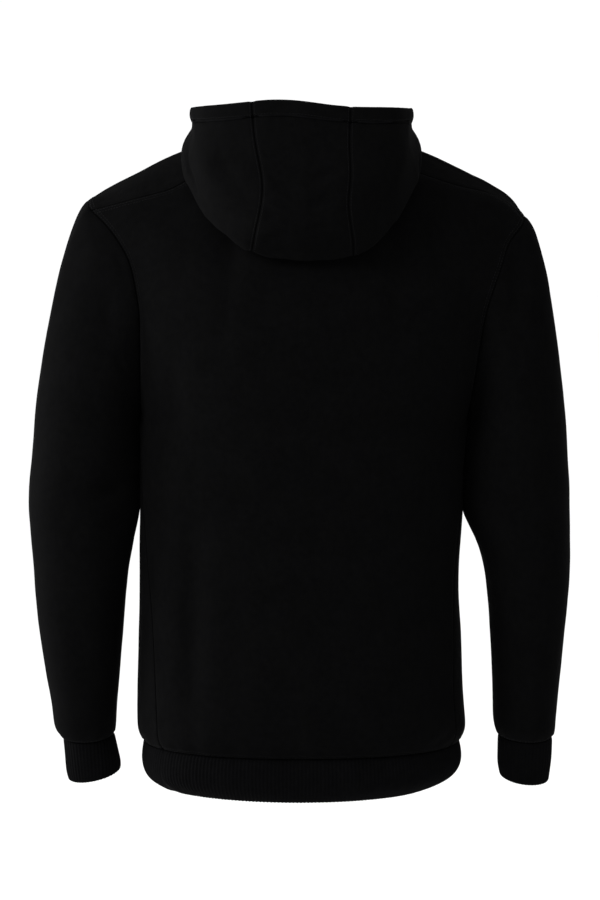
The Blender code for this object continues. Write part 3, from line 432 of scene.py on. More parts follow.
@dataclass(frozen=True)
class TapeFinish:
    """Woven zip tape with a fine herringbone."""

    name: str
    dark: Colour = (0.0016, 0.0016, 0.0018)
    light: Colour = (0.0052, 0.0052, 0.0056)
    roughness: float = 0.7
    rib: float = 0.0007
    pick: float = 0.0004
    lint_scale: float = 2600.0

    def make(self) -> Material:
        """Build the material.

        Returns:
            The material.
        """
        graph = Graph(self.name)
        place = graph.place()
        split = graph.node("ShaderNodeSeparateXYZ", {}, {0: place})
        across, up = graph.out(split, 0), graph.out(split, 2)
        column = graph.maths("PINGPONG", across / self.rib, 1.0)
        weave = graph.maths("SINE", (up / self.pick + column * 1.4) * math.tau)
        lint = graph.noise(place, self.lint_scale)
        share = weave * 0.25 + lint * 0.5 + 0.2
        return graph.finish(
            {
                "Base Color": graph.mixed(share, self.dark, self.light),
                "Roughness": graph.maths("MULTIPLY_ADD", lint, 0.15, self.roughness),
                "Normal": graph.bumped(weave * 0.00004 + lint * 0.00002),
                "Specular IOR Level": 0.06,
            }
        )


@dataclass(frozen=True)
class MetalFinish:
    """Dark plated metal, brushed, worn brighter in patches."""

    name: str
    dark: Colour = (0.035, 0.035, 0.038)
    worn: Colour = (0.16, 0.16, 0.165)
    roughness: float = 0.30
    brushed: float = 1500.0
    patch_scale: float = 420.0

    def make(self) -> Material:
        """Build the material.

        Returns:
            The material.
        """
        graph = Graph(self.name)
        place = graph.place()
        mapping = graph.node("ShaderNodeMapping", {}, {"Vector": place, "Scale": (1.0, 1.0, 0.08)})
        strokes = graph.noise(graph.out(mapping), self.brushed, 3.0)
        patches = graph.noise(place, self.patch_scale, 3.0)
        wear = graph.node("ShaderNodeValToRGB", {"stops": [(0.48, 0.0), (0.72, 1.0)]}, {0: patches})
        share = graph.out(wear)
        return graph.finish(
            {
                "Base Color": graph.mixed(share, self.dark, self.worn),
                "Metallic": 1.0,
                "Roughness": graph.maths("MULTIPLY_ADD", strokes, 0.22, self.roughness - 0.08),
                "Normal": graph.bumped(strokes * 0.000012),
            }
        )


@dataclass(frozen=True)
class FloorFinish:
    """Plain pale studio floor."""

    name: str
    pale: Colour = (0.955, 0.955, 0.955)
    paler: Colour = (0.985, 0.985, 0.985)
    cloud_scale: float = 1.2

    def make(self) -> Material:
        """Build the material.

        Returns:
            The material.
        """
        graph = Graph(self.name)
        cloud = graph.noise(graph.place(), self.cloud_scale)
        shade = graph.mixed(cloud, self.pale, self.paler)
        return graph.finish({"Base Color": shade, "Roughness": 0.9, "Specular IOR Level": 0.1})


# --- cloth as sheets of points ------------------------------------------------------------
class Edge(Enum):
    """How a border of a cut piece is finished."""

    SEWN = "sewn to its neighbour"
    TURNED = "folded edge"
    ZIPPED = "turned in beside the zip"


@dataclass
class Sheet:
    """One face of a piece of cloth, as points and faces of four corners."""

    points: np.ndarray
    faces: np.ndarray

    def normals(self) -> np.ndarray:
        """Smooth outward directions at the points.

        Returns:
            One direction for each point.
        """
        a, b, c, d = (self.points[self.faces[:, k]] for k in range(4))
        area = np.cross(c - a, d - b)
        total = np.zeros_like(self.points)
        for k in range(4):
            np.add.at(total, self.faces[:, k], area)
        return total / np.maximum(np.linalg.norm(total, axis=1), 1e-12)[:, None]

    def borders(self) -> list[np.ndarray]:
        """Closed loops of border points, in the order that the faces turn.

        Returns:
            Point numbers of each loop.
        """
        count = len(self.points)
        start = self.faces.ravel().astype(np.int64)
        end = np.roll(self.faces, -1, axis=1).ravel().astype(np.int64)
        open_edges = ~np.isin(start * count + end, end * count + start)
        follows = dict(zip(start[open_edges].tolist(), end[open_edges].tolist()))
        loops = []
        while follows:
            first, then = follows.popitem()
            loop = [first]
            while then != first:
                loop.append(then)
                then = follows.pop(then)
            loops.append(np.array(loop))
        return loops

    def tree(self) -> BVHTree:
        """A search tree over the faces."""
        return BVHTree.FromPolygons(self.points.tolist(), self.faces.tolist())


@dataclass(frozen=True)
class Run:
    """A stretch of a border that is finished in one way."""

    edge: Edge
    meets: str
    ids: np.ndarray


def smooth_line(points: Sequence[Point], count: int) -> np.ndarray:
    """A smooth line through points.

    Args:
        points: Two or more points.
        count: How many points the line gets.

    Returns:
        The line, evenly divided.
    """
    given = np.asarray(points, float)
    padded = np.vstack([2 * given[0] - given[1], given, 2 * given[-1] - given[-2]])
    t = np.linspace(0, len(given) - 1, 8 * count)
    span = np.minimum(t.astype(int), len(given) - 2)
    u = (t - span)[:, None]
    p0, p1, p2, p3 = (padded[span + k] for k in range(4))
    square, cube = 2 * p0 - 5 * p1 + 4 * p2 - p3, 3 * p1 - 3 * p2 + p3 - p0
    line = 0.5 * (2 * p1 + (p2 - p0) * u + square * u**2 + cube * u**3)
    return evenly(line, count)


def run_lengths(line: np.ndarray) -> np.ndarray:
    """Distance run along a line at each of its points."""
    return np.concatenate([[0.0], np.cumsum(np.linalg.norm(np.diff(line, axis=0), axis=1))])


def evenly(line: np.ndarray, count: int) -> np.ndarray:
    """A line of points divided evenly into count points.

    Args:
        line: The points.
        count: How many points the result has.

    Returns:
        The evenly spaced points.
    """
    run = run_lengths(line)
    where = np.linspace(0, run[-1], count)
    return np.column_stack([np.interp(where, run, line[:, k]) for k in range(3)])


@dataclass(frozen=True)
class Crease:
    """A soft trough or ridge along a line on some pieces; a negative depth is a ridge."""

    pieces: tuple[str, ...]
    line: tuple[Point, ...]
    half_width: float
    depth: float

    END = 0.08
    SHARPNESS = 1.3
    SAMPLES = 40

    def sink(self, points: np.ndarray, surface: BVHTree) -> np.ndarray:
        """How far each point sinks; the line is first laid on the surface.

        Args:
            points: Points of the cloth.
            surface: The cloth before any folding.

        Returns:
            The depth at each point, negative for a ridge.
        """
        given = smooth_line(self.line, self.SAMPLES)
        line = np.array([tuple(surface.find_nearest(p)[0]) for p in given])
        square = ((points[:, None, :] - line[None, :, :]) ** 2).sum(axis=2)
        along = square.argmin(axis=1) / (len(line) - 1)
        fade = np.sin(math.pi * (self.END + (1 - 2 * self.END) * along)) ** self.SHARPNESS
        return self.depth * fade * np.exp(-square.min(axis=1) / self.half_width**2)


@dataclass(frozen=True)
class Gather:
    """Small waves that fade away from a seam."""

    meets: tuple[str, ...]
    waves: tuple[tuple[float, float, float], ...]
    fade: float
    flat: float = 0.004

    def lift(self, run: np.ndarray, away: np.ndarray) -> np.ndarray:
        """Height of the waves, by distance along the seam and away from it.

        Args:
            run: Distance along the seam for each point.
            away: Distance from the seam for each point.

        Returns:
            The height at each point.
        """
        total = np.zeros_like(run)
        for length, height, turn in self.waves:
            total += height * np.sin(math.tau * (run / length + turn))
        begins = 1 - np.exp(-((away / self.flat) ** 2))
        return total * np.exp(-((away / self.fade) ** 1.5)) * begins


@dataclass(frozen=True)
class Droop:
    """A fold that hangs lower or higher, by its place across the garment."""

    pieces: tuple[str, ...]
    drops: tuple[tuple[float, float], ...]
    top: float
    bottom: float
    hold: float

    def drop(self, points: np.ndarray, held: np.ndarray) -> np.ndarray:
        """How far each point hangs lower.

        Args:
            points: The points.
            held: Their distance to the seam that holds them.

        Returns:
            Metres downward.
        """
        places, drops = zip(*self.drops)
        share = np.clip((self.top - points[:, 2]) / (self.top - self.bottom), 0.0, 1.0)
        share = share * share * (3 - 2 * share) * (1 - np.exp(-((held / self.hold) ** 2)))
        return np.interp(points[:, 0], places, drops) * share


@dataclass(frozen=True)
class Tug:
    """Cloth pulled a little aside round a place, which is given across and up."""

    pieces: tuple[str, ...]
    place: tuple[float, float]
    reach: float
    move: Point
    beyond: float = -1.0

    BLEND = 0.02

    def pull(self, points: np.ndarray) -> np.ndarray:
        """How far each point is pulled, if it lies further back than it says.

        Args:
            points: Points of the cloth.

        Returns:
            The move of each point.
        """
        square = (points[:, 0] - self.place[0]) ** 2 + (points[:, 2] - self.place[1]) ** 2
        behind = np.clip((points[:, 1] - self.beyond) / self.BLEND, 0.0, 1.0)
        return (np.exp(-square / self.reach**2) * behind)[:, None] * np.array(self.move)


@dataclass(frozen=True)
class Grain:
    """How the knit runs round a piece: about an axis, on a mean radius."""

    start: Point
    end: Point
    faces: Point
    radius: float

    def coordinates(self, points: np.ndarray) -> tuple[np.ndarray, np.ndarray]:
        """Distance round the axis and along it for each point.

        Args:
            points: Points of the cloth.

        Returns:
            Both distances.
        """
        axis = Vector(self.end) - Vector(self.start)
        axis.normalize()
        zero = Vector(self.faces) - axis * Vector(self.faces).dot(axis)
        zero.normalize()
        side = axis.cross(zero)
        offset = points - np.array(self.start)
        angle = np.arctan2(offset @ np.array(side), offset @ np.array(zero))
        return angle * self.radius, offset @ np.array(axis)


@dataclass(frozen=True)
class Cut:
    """Flat size that a piece is cut to: width, length and area, in metres."""

    width: float
    length: float
    area: float


# --- reading the solids -------------------------------------------------------------------
class Pattern:
    """The outer faces of the cloth solids, and which of their borders meet."""

    MERGE = 1e-5
    EXACT = 1.5e-6
    TOUCH = 0.0008
    FITS = 5
    SHARP = math.radians(32)
    ZIP_REACH = 0.0075

    def __init__(self, nodes: Nodes, pieces: Iterable["ClothPiece"]) -> None:
        """Read the outer face of each piece from its node.

        Args:
            nodes: The solids' nodes by name.
            pieces: The cloth pieces.
        """
        self.faces: dict[str, Shape] = {}
        self.trees: dict[str, KDTree] = {}
        for piece in pieces:
            face = self._outer_face(nodes[piece.node], piece)
            self.faces[piece.node] = face
            self.trees[piece.node] = point_tree(vert.co for vert in face.verts)

    def _outer_face(self, node: Object, piece: "ClothPiece") -> Shape:
        """Take the outer face of a solid wall, without its rims and inner face.

        Args:
            node: The solid's node.
            piece: What is known of the piece.

        Returns:
            The outer face, in squares where its triangles pair up.
        """
        face = bmesh.new()
        face.from_mesh(node.data)
        bmesh.ops.remove_doubles(face, verts=face.verts[:], dist=self.MERGE)
        across = [
            edge
            for edge in face.edges
            if min(abs(edge.calc_length() - wall) for wall in piece.walls) < self.EXACT
        ]
        rim = {item for edge in across for item in edge.link_faces}
        bmesh.ops.delete(face, geom=list(rim), context="FACES")
        toward = Vector(piece.toward)
        sides = sorted(
            self._parts(face), key=lambda part: max(v.co.dot(toward) for f in part for v in f.verts)
        )
        for part in sides[:-1]:
            bmesh.ops.delete(face, geom=part, context="FACES")
        bmesh.ops.holes_fill(face, edges=face.edges[:], sides=8)
        bmesh.ops.join_triangles(
            face, faces=face.faces[:], angle_face_threshold=math.pi, angle_shape_threshold=math.pi
        )
        face.verts.index_update()
        self._keep_corners(face)
        LOG.debug("%s: %d faces, %d sides", piece.node, len(face.faces), len(sides))
        return face

    @staticmethod
    def _parts(face: Shape) -> list[list[bmesh.types.BMFace]]:
        """Faces in joined parts.

        Args:
            face: The faces.

        Returns:
            The faces of each part.
        """
        left = set(face.faces)
        parts = []
        while left:
            stack = [left.pop()]
            part = []
            while stack:
                item = stack.pop()
                part.append(item)
                for edge in item.edges:
                    for other in edge.link_faces:
                        if other in left:
                            left.discard(other)
                            stack.append(other)
            parts.append(part)
        return parts

    @staticmethod
    def _keep_corners(face: Shape) -> None:
        """Keep the points where a border turns sharply in their place when it is divided.

        Args:
            face: The faces, which get a mark on those points.
        """
        crease = face.verts.layers.float.new("crease_vert")
        for vert in face.verts:
            open_edges = [edge for edge in vert.link_edges if edge.is_boundary]
            if len(open_edges) == 2:
                first, second = (edge.other_vert(vert).co - vert.co for edge in open_edges)
                if first.angle(-second) > Pattern.SHARP:
                    vert[crease] = 1.0

    def touching(self, node: str, point: Vector) -> set[str]:
        """Pieces, other than its own, that have a point right at this one.

        Args:
            node: The point's own node.
            point: The point.

        Returns:
            The names of the pieces' nodes.
        """
        near = set()
        for name, tree in self.trees.items():
            if name != node and tree.find(point)[2] < self.TOUCH:
                near.add(name)
        return near

    def border(self, node: str) -> tuple[np.ndarray, list[tuple[Edge, str]]]:
        """Border edges of a piece.

        Args:
            node: The piece's node.

        Returns:
            Their ends, two points each, and how each is finished and what it meets.
        """
        ends, kinds = [], []
        for edge in self.faces[node].edges:
            if not edge.is_boundary:
                continue
            a, b = (vert.co for vert in edge.verts)
            shared = self.touching(node, a) & self.touching(node, b)
            ends.append((tuple(a), tuple(b)))
            if shared:
                kinds.append((Edge.SEWN, sorted(shared)[0]))
            elif max(abs(a.x), abs(b.x)) < self.ZIP_REACH and node not in HOODS:
                kinds.append((Edge.ZIPPED, ""))
            else:
                kinds.append((Edge.TURNED, ""))
        return np.array(ends), kinds

    def divided(self, node: str, levels: int) -> Sheet:
        """The outer face of a piece, divided smoothly through its solid's own points.

        Args:
            node: The piece's node.
            levels: How often each face is halved.

        Returns:
            The divided face.
        """
        mesh = bpy.data.meshes.new("division")
        self.faces[node].to_mesh(mesh)
        holder = placed("division", mesh)
        rounding = holder.modifiers.new("rounding", "SUBSURF")
        rounding.levels = rounding.render_levels = levels
        rounding.boundary_smooth = "PRESERVE_CORNERS"
        goal = np.empty(len(mesh.vertices) * 3)
        mesh.vertices.foreach_get("co", goal)
        control = goal.copy()
        for _ in range(self.FITS + 1):
            mesh.vertices.foreach_set("co", control)
            mesh.update()
            graph = bpy.context.evaluated_depsgraph_get()
            result = bpy.data.meshes.new_from_object(holder.evaluated_get(graph))
            points = np.empty(len(result.vertices) * 3)
            corners = np.empty(len(result.loops), dtype=np.int32)
            result.vertices.foreach_get("co", points)
            result.loops.foreach_get("vertex_index", corners)
            bpy.data.meshes.remove(result)
            control += goal - points[: len(goal)]
        bpy.data.objects.remove(holder)
        bpy.data.meshes.remove(mesh)
        return Sheet(points.reshape(-1, 3), corners.reshape(-1, 4))


# --- one cut piece ------------------------------------------------------------------------
@dataclass
class ClothPiece:
    """One cut and sewn piece: a thin shell with a fine outer and a plainer inner face."""

    node: str
    toward: Point
    wall: float
    walls: tuple[float, ...]
    cut: Cut
    grain: Grain
    held: str = "hung"
    slot: str = "black_fleece"
    fine: int = 3
    hem_line: float = 0.0
    uneven: float = 0.0007
    pinch: float = 0.0009
    pinch_width: float = 0.0026
    bulge: float = 0.35
    lap: float = 0.0006
    clear: float = 0.006
    calm: float = 0.012
    ease: tuple[float, ...] = ()
    outer: Sheet = field(init=False)
    inner: Sheet = field(init=False)
    runs: list[Run] = field(init=False)
    inner_runs: list[Run] = field(init=False)
    away: np.ndarray = field(init=False)

    def shape(self, pattern: Pattern, folds: "Creases") -> None:
        """Divide the piece's faces and give them their creases, gathers and sunk seams.

        Args:
            pattern: The outer faces of all pieces.
            folds: What shapes the cloth.
        """
        self.outer = self._divided(pattern, self.fine)
        self.inner = self._divided(pattern, self.fine - 1)
        ends, kinds = pattern.border(self.node)
        self.runs = self._runs(self.outer, ends, kinds)
        self.inner_runs = self._runs(self.inner, ends, kinds)
        self.away = self._bend(self.outer, self.runs, folds)
        self._bend(self.inner, self.inner_runs, folds)

    def _divided(self, pattern: Pattern, levels: int) -> Sheet:
        """The piece's face, divided."""
        return pattern.divided(self.node, levels)

    @staticmethod
    def _runs(sheet: Sheet, ends: np.ndarray, kinds: Sequence[tuple[Edge, str]]) -> list[Run]:
        """Split the borders of a sheet by how they are finished.

        Args:
            sheet: The divided face.
            ends: The ends of the solid's border edges.
            kinds: How each border edge is finished and what it meets.

        Returns:
            The runs.
        """
        runs = []
        for loop in sheet.borders():
            middle = (sheet.points[loop] + sheet.points[np.roll(loop, -1)]) / 2
            along = ends[:, 1] - ends[:, 0]
            offset = middle[:, None, :] - ends[None, :, 0]
            t = np.clip((offset * along).sum(axis=2) / (along * along).sum(axis=1), 0, 1)
            miss = np.linalg.norm(offset - along * t[:, :, None], axis=2)
            marks = [kinds[k] for k in miss.argmin(axis=1)]
            turns = [k for k in range(len(loop)) if marks[k] != marks[k - 1]]
            if not turns:
                runs.append(Run(*marks[0], np.append(loop, loop[0])))
            for start, stop in zip(turns, turns[1:] + [turns[0] + len(loop)] if turns else []):
                ids = np.array([loop[k % len(loop)] for k in range(start, stop + 1)])
                runs.append(Run(*marks[start], ids))
        return runs

    def _bend(self, sheet: Sheet, runs: Sequence[Run], folds: "Creases") -> np.ndarray:
        """Move the points of a sheet into their worn shape.

        Args:
            sheet: The sheet, whose points are moved.
            runs: Its border runs.
            folds: The garment's creases, gathers and drooping folds.

        Returns:
            The distance of each point to the nearest sunk line, in millimetres.
        """
        if self.ease:
            self._ease(sheet, *self.ease)
        normals = sheet.normals()
        surface = sheet.tree()
        move = np.zeros(len(sheet.points))
        nearest = np.full(len(sheet.points), FAR)
        line = np.full(len(sheet.points), FAR)
        held = np.full(len(sheet.points), FREE)
        for run in runs:
            away, along = self._distances(sheet, run.ids)
            if run.edge is Edge.SEWN:
                line = np.minimum(line, away)
                nearest = np.minimum(nearest, away)
                move -= self.pinch * np.exp(-((away / self.pinch_width) ** 2))
            elif run.edge is Edge.TURNED and self.hem_line:
                # a hem line set in from a folded edge gets the seam's bump groove and its painted shade
                line = np.minimum(line, np.abs(away - self.hem_line))
            if run.meets in ("back", "front_left", "front_right"):
                held = np.minimum(held, away)
            for gather in folds.gathers:
                if run.meets and run.meets in gather.meets:
                    move += gather.lift(along, away)
        clear = 1 - np.exp(-((nearest / self.clear) ** 2))
        for crease in folds.all():
            if self.node in crease.pieces:
                move -= crease.sink(sheet.points, surface) * clear
        calm = 1 - np.exp(-((nearest / self.calm) ** 2))
        move += self.uneven * self._waves(sheet.points) * calm
        sheet.points = sheet.points + normals * move[:, None]
        for droop in folds.droops:
            if self.node in droop.pieces:
                sheet.points[:, 2] -= droop.drop(sheet.points, held)
        for tug in folds.tugs:
            if self.node in tug.pieces:
                sheet.points = sheet.points + tug.pull(sheet.points)
        return line * 1000.0

    @staticmethod
    def _ease(sheet: Sheet, level: float, reach: float, spread: float) -> None:
        """Ease the turn that the cloth makes at one level, away from its borders.

        Args:
            sheet: The sheet, whose points are moved.
            level: Height of the turn.
            reach: How far above and below it the cloth is eased.
            spread: Over what length the turn is spread.
        """
        count = len(sheet.points)
        start = sheet.faces.ravel()
        end = np.roll(sheet.faces, -1, axis=1).ravel()
        one, other = np.concatenate([start, end]), np.concatenate([end, start])
        meeting = np.maximum(np.bincount(one, minlength=count), 1)
        share = 0.5 * np.exp(-(((sheet.points[:, 2] - level) / reach) ** 2))
        share[np.concatenate(sheet.borders())] = 0.0
        mesh_size = np.linalg.norm(sheet.points[start] - sheet.points[end], axis=1).mean()
        for _ in range(int(4 * (spread / mesh_size) ** 2)):
            for axis in range(3):
                values = sheet.points[:, axis]
                mean = np.bincount(one, weights=values[other], minlength=count) / meeting
                sheet.points[:, axis] = values + (mean - values) * share

    @staticmethod
    def _distances(sheet: Sheet, ids: np.ndarray) -> tuple[np.ndarray, np.ndarray]:
        """Distance of each point of a sheet from a run, and where along it.

        Args:
            sheet: The divided face.
            ids: Point numbers of the run.

        Returns:
            Both distances for each point.
        """
        line = sheet.points[ids]
        length = run_lengths(line)[-1]
        samples = evenly(line, max(int(length / SEAM_STEP), 8))
        tree = point_tree(samples)
        found = [tree.find(point)[1:] for point in sheet.points]
        index, away = np.array(found).T
        return away, index * length / (len(samples) - 1)

    @staticmethod
    def _waves(points: np.ndarray) -> np.ndarray:
        """Slow uneven waves over the cloth, from about -1 to 1.

        Args:
            points: Points of the cloth.

        Returns:
            The wave's value at each point.
        """
        broad = [noise.noise(Vector(p) * BROAD_WAVES) for p in points]
        small = [noise.noise(Vector(p) * SMALL_WAVES + Vector((7, 3, 5))) for p in points]
        return np.array(broad) + SMALL_SHARE * np.array(small)

    def make(self, finishes: Sequence[Material]) -> Object:
        """Make the piece's object.

        Args:
            finishes: The materials of its outer and its inner face.

        Returns:
            The object, in place.
        """
        normals = self.outer.normals()
        inside = self.inner.points - self.inner.normals() * self.wall
        points = [self.outer.points, inside]
        count = len(self.outer.points) + len(inside)
        faces: Faces = [tuple(f) for f in self.outer.faces.tolist()]
        outer_faces = len(faces)
        base = len(self.outer.points)
        faces += [tuple(base + k for k in reversed(f)) for f in self.inner.faces.tolist()]
        closed = {int(k) for run in self.runs if run.edge is Edge.SEWN for k in run.ids}
        inner_loops = self.inner.borders()
        for loop in self.outer.borders():
            rings, strips = self._rim(loop, inner_loops, normals, closed, base, count, inside)
            points.append(rings)
            count += len(rings)
            faces += strips
        mesh = bpy.data.meshes.new(f"{self.node}_cloth")
        mesh.from_pydata(np.vstack(points).tolist(), [], faces)
        piece = placed(mesh.name, mesh, *finishes)
        inner_mark = np.zeros(len(faces), dtype=np.int32)
        inner_mark[outer_faces : outer_faces + len(self.inner.faces)] = 1
        mesh.polygons.foreach_set("material_index", inner_mark)
        self._measure(mesh, count)
        mesh.shade_smooth()
        return piece

    def _rim(
        self,
        loop: np.ndarray,
        inner_loops: Sequence[np.ndarray],
        normals: np.ndarray,
        closed: set[int],
        base: int,
        count: int,
        inside: np.ndarray,
    ) -> tuple[np.ndarray, Faces]:
        """Close the shell along one border with a rounded rim.

        Args:
            loop: Border points of the outer face.
            inner_loops: Border loops of the inner face, half as fine.
            normals: Directions of the outer face.
            closed: Border points that lie in a sewn seam, where the rim laps its neighbour's.
            base: Number of the first inner point in the mesh.
            count: Number of points in the mesh so far.
            inside: Points of the inner face.

        Returns:
            The rim's own points and its faces.
        """
        start = self.outer.points[loop]
        along = np.roll(start, -1, axis=0) - np.roll(start, 1, axis=0)
        out = np.cross(along, normals[loop])
        out /= np.linalg.norm(out, axis=1)[:, None]
        flat = np.array([int(k) in closed for k in loop])
        swell = np.where(flat, self.lap, self.wall * self.bulge)[:, None]
        rings = []
        for angle in (math.pi / 4, math.pi / 2, 3 * math.pi / 4):
            depth = self.wall * (1 - math.cos(angle)) / 2
            rings.append(start - normals[loop] * depth + out * swell * math.sin(angle))
        size = len(loop)
        ids = [loop] + [count + size * k + np.arange(size) for k in range(3)]
        faces = []
        for upper, lower in zip(ids, ids[1:]):
            for k in range(size):
                n = (k + 1) % size
                faces.append((int(upper[n]), int(upper[k]), int(lower[k]), int(lower[n])))
        target = start[0] - normals[loop[0]] * self.wall
        inner = min(
            inner_loops, key=lambda ring: np.linalg.norm(inside[ring] - target, axis=1).min()
        )
        first = int(np.linalg.norm(inside[inner] - target, axis=1).argmin())
        inner = np.roll(inner, -first)
        last = ids[-1]
        shift = int(np.linalg.norm(rings[-1] - inside[inner[0]], axis=1).argmin())
        last = np.roll(last, -shift)
        for k, own in enumerate(inner):
            a, b, c = (int(last[(2 * k + n) % size]) for n in range(3))
            own_id, next_id = base + int(own), base + int(inner[(k + 1) % len(inner)])
            faces += [(b, a, own_id), (c, b, next_id), (b, own_id, next_id)]
        return np.vstack(rings), faces

    def _measure(self, mesh: Mesh, count: int) -> None:
        """Store the distance to sunk lines and the grain's coordinates on a mesh.

        Args:
            mesh: The finished mesh.
            count: How many points it has.
        """
        away = np.full(count, FAR * 1000.0)
        away[: len(self.away)] = self.away
        # this distance masks the groove bump and the painted shade along the sunk lines
        seam = mesh.attributes.new("seam", "FLOAT", "POINT")
        seam.data.foreach_set("value", away.astype(np.float32))
        points = np.empty(count * 3)
        mesh.vertices.foreach_get("co", points)
        around, along = self.grain.coordinates(points.reshape(-1, 3))
        corners = np.empty(len(mesh.loops), dtype=np.int32)
        mesh.loops.foreach_get("vertex_index", corners)
        starts = np.empty(len(mesh.polygons), dtype=np.int32)
        mesh.polygons.foreach_get("loop_start", starts)
        u = around[corners]
        high = np.maximum.reduceat(u, starts)
        low = np.minimum.reduceat(u, starts)
        owner = np.repeat(np.arange(len(starts)), np.diff(np.append(starts, len(corners))))
        wraps = (high - low > math.pi * self.grain.radius)[owner] & (u < 0)
        u = np.where(wraps, u + math.tau * self.grain.radius, u)
        layer = mesh.uv_layers.new(name="grain")
        places = np.column_stack([u, along[corners]]).ravel()
        layer.uv.foreach_set("vector", places.astype(np.float32))

    def register(self, piece: Object, on_it: Sequence[Object]) -> None:
        """Attach the finished piece to the garment's body and hide its solid.

        Args:
            piece: The finished piece.
            on_it: Its stitches; not used.
        """
        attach(piece, GARMENT)
        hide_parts(self.node)


@dataclass(frozen=True)
class Seams:
    """Where two pieces are sewn together, their borders are laid on one line."""

    sample: float = 0.0002

    def close(self, pieces: Sequence[ClothPiece]) -> None:
        """Close the seams of the outer and of the inner faces."""
        outer = [(piece.outer, piece.runs, piece.node) for piece in pieces]
        inner = [(piece.inner, piece.inner_runs, piece.node) for piece in pieces]
        for group in (outer, inner):
            self._close(group)

    def _close(self, group: Sequence[tuple[Sheet, Sequence[Run], str]]) -> None:
        """Move each sewn border point halfway to its neighbour's border.

        Args:
            group: A sheet of each piece, with its border runs and its node.
        """
        trees: dict[tuple[str, str], KDTree] = {}
        for sheet, own, node in group:
            for meets in {run.meets for run in own if run.edge is Edge.SEWN}:
                lines = [sheet.points[run.ids] for run in own if run.meets == meets]
                dense = [evenly(line, int(run_lengths(line)[-1] / self.sample)) for line in lines]
                trees[(node, meets)] = point_tree(np.vstack(dense))
        moved = []
        for sheet, own, node in group:
            total: dict[int, list[np.ndarray]] = {}
            for run in own:
                tree = trees.get((run.meets, node))
                if run.edge is Edge.SEWN and tree is not None:
                    for index in run.ids:
                        point = sheet.points[index]
                        total.setdefault(int(index), [point]).append(np.array(tree.find(point)[0]))
            moved.append({index: np.mean(found, axis=0) for index, found in total.items()})
        for (sheet, _, _), places in zip(group, moved):
            for index, point in places.items():
                sheet.points[index] = point


# --- stitching ----------------------------------------------------------------------------
@dataclass(frozen=True)
class StitchRow:
    """Rows of stitches beside a seam or a folded edge."""

    piece: str
    edge: Edge
    meets: tuple[str, ...]
    offsets: tuple[float, ...]
    above: float = -9.0


@dataclass
class Stitching:
    """Rows of lock stitches, each stitch a small spindle of thread that dips into the cloth."""

    stitch: float = 0.0027
    gap: float = 0.0007
    thread: float = 0.00030
    dip: float = 0.00025
    crown: float = 1.1
    bends: tuple[float, ...] = (0.0, 0.22, 0.78, 1.0)

    def rows(self, cloth: ClothPiece, table: Sequence[StitchRow]) -> Lines:
        """Lines on a piece where its stitches run, with the directions off the cloth.

        Args:
            cloth: The piece.
            table: All rows of the garment.

        Returns:
            Each line with its directions.
        """
        tree = cloth.outer.tree()
        normals = cloth.outer.normals()
        lines = []
        for row in table:
            if row.piece != cloth.node:
                continue
            for run in cloth.runs:
                if run.edge is not row.edge or (row.meets and run.meets not in row.meets):
                    continue
                line, up = cloth.outer.points[run.ids], normals[run.ids]
                if line[:, 2].mean() < row.above:
                    continue
                along = np.gradient(line, axis=0)
                inward = np.cross(up, along)
                inward /= np.maximum(np.linalg.norm(inward, axis=1), 1e-12)[:, None]
                for offset in row.offsets:
                    found = [tree.find_nearest(p) for p in line + inward * offset]
                    places = np.array([tuple(hit[0]) for hit in found])
                    lines.append((places, np.array([tuple(hit[1]) for hit in found])))
        return lines

    def make(self, name: str, lines: Lines, finish: Material) -> Object:
        """Make all stitches along some lines as one object.

        Args:
            name: The object's name.
            lines: The lines, with their directions off the cloth.
            finish: The thread's finish.

        Returns:
            The stitches.
        """
        points: list[np.ndarray] = []
        faces: Faces = []
        for line, up in lines:
            run = run_lengths(line)
            starts = np.arange(self.gap, run[-1] - self.stitch, self.stitch + self.gap)
            for start in starts:
                places = [self._at(run, line, start + self.stitch * share) for share in self.bends]
                rise = self._at(run, up, start + self.stitch / 2)
                rise /= np.linalg.norm(rise)
                self._spindle(points, faces, places, rise)
        mesh = bpy.data.meshes.new(name)
        mesh.from_pydata(np.vstack(points).tolist(), [], faces)
        mesh.shade_smooth()
        piece = placed(name, mesh, finish)
        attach(piece, GARMENT)
        return piece

    @staticmethod
    def _at(run: np.ndarray, values: np.ndarray, where: float) -> np.ndarray:
        """Values read at a distance along a line."""
        return np.array([np.interp(where, run, values[:, k]) for k in range(3)])

    def _spindle(
        self, points: list[np.ndarray], faces: Faces, places: Sequence[np.ndarray], up: np.ndarray
    ) -> None:
        """Add one stitch: two ends that dip in and a round body between them.

        Args:
            points: Points so far, added to.
            faces: Faces so far, added to.
            places: Points along the stitch.
            up: The direction off the cloth.
        """
        base = sum(len(group) for group in points)
        side = np.cross(up, places[3] - places[0])
        side /= max(np.linalg.norm(side), 1e-12)
        group = [places[0] - up * self.dip]
        for place in places[1:3]:
            top = place + up * self.thread * self.crown
            wide = side * self.thread
            group += [place + wide, top, place - wide, place - up * self.dip]
        group.append(places[3] - up * self.dip)
        points.append(np.array(group))
        for k in range(4):
            n = (k + 1) % 4
            faces.append((base, base + 1 + n, base + 1 + k))
            faces.append((base + 1 + k, base + 1 + n, base + 5 + n, base + 5 + k))
            faces.append((base + 5 + k, base + 5 + n, base + 9))


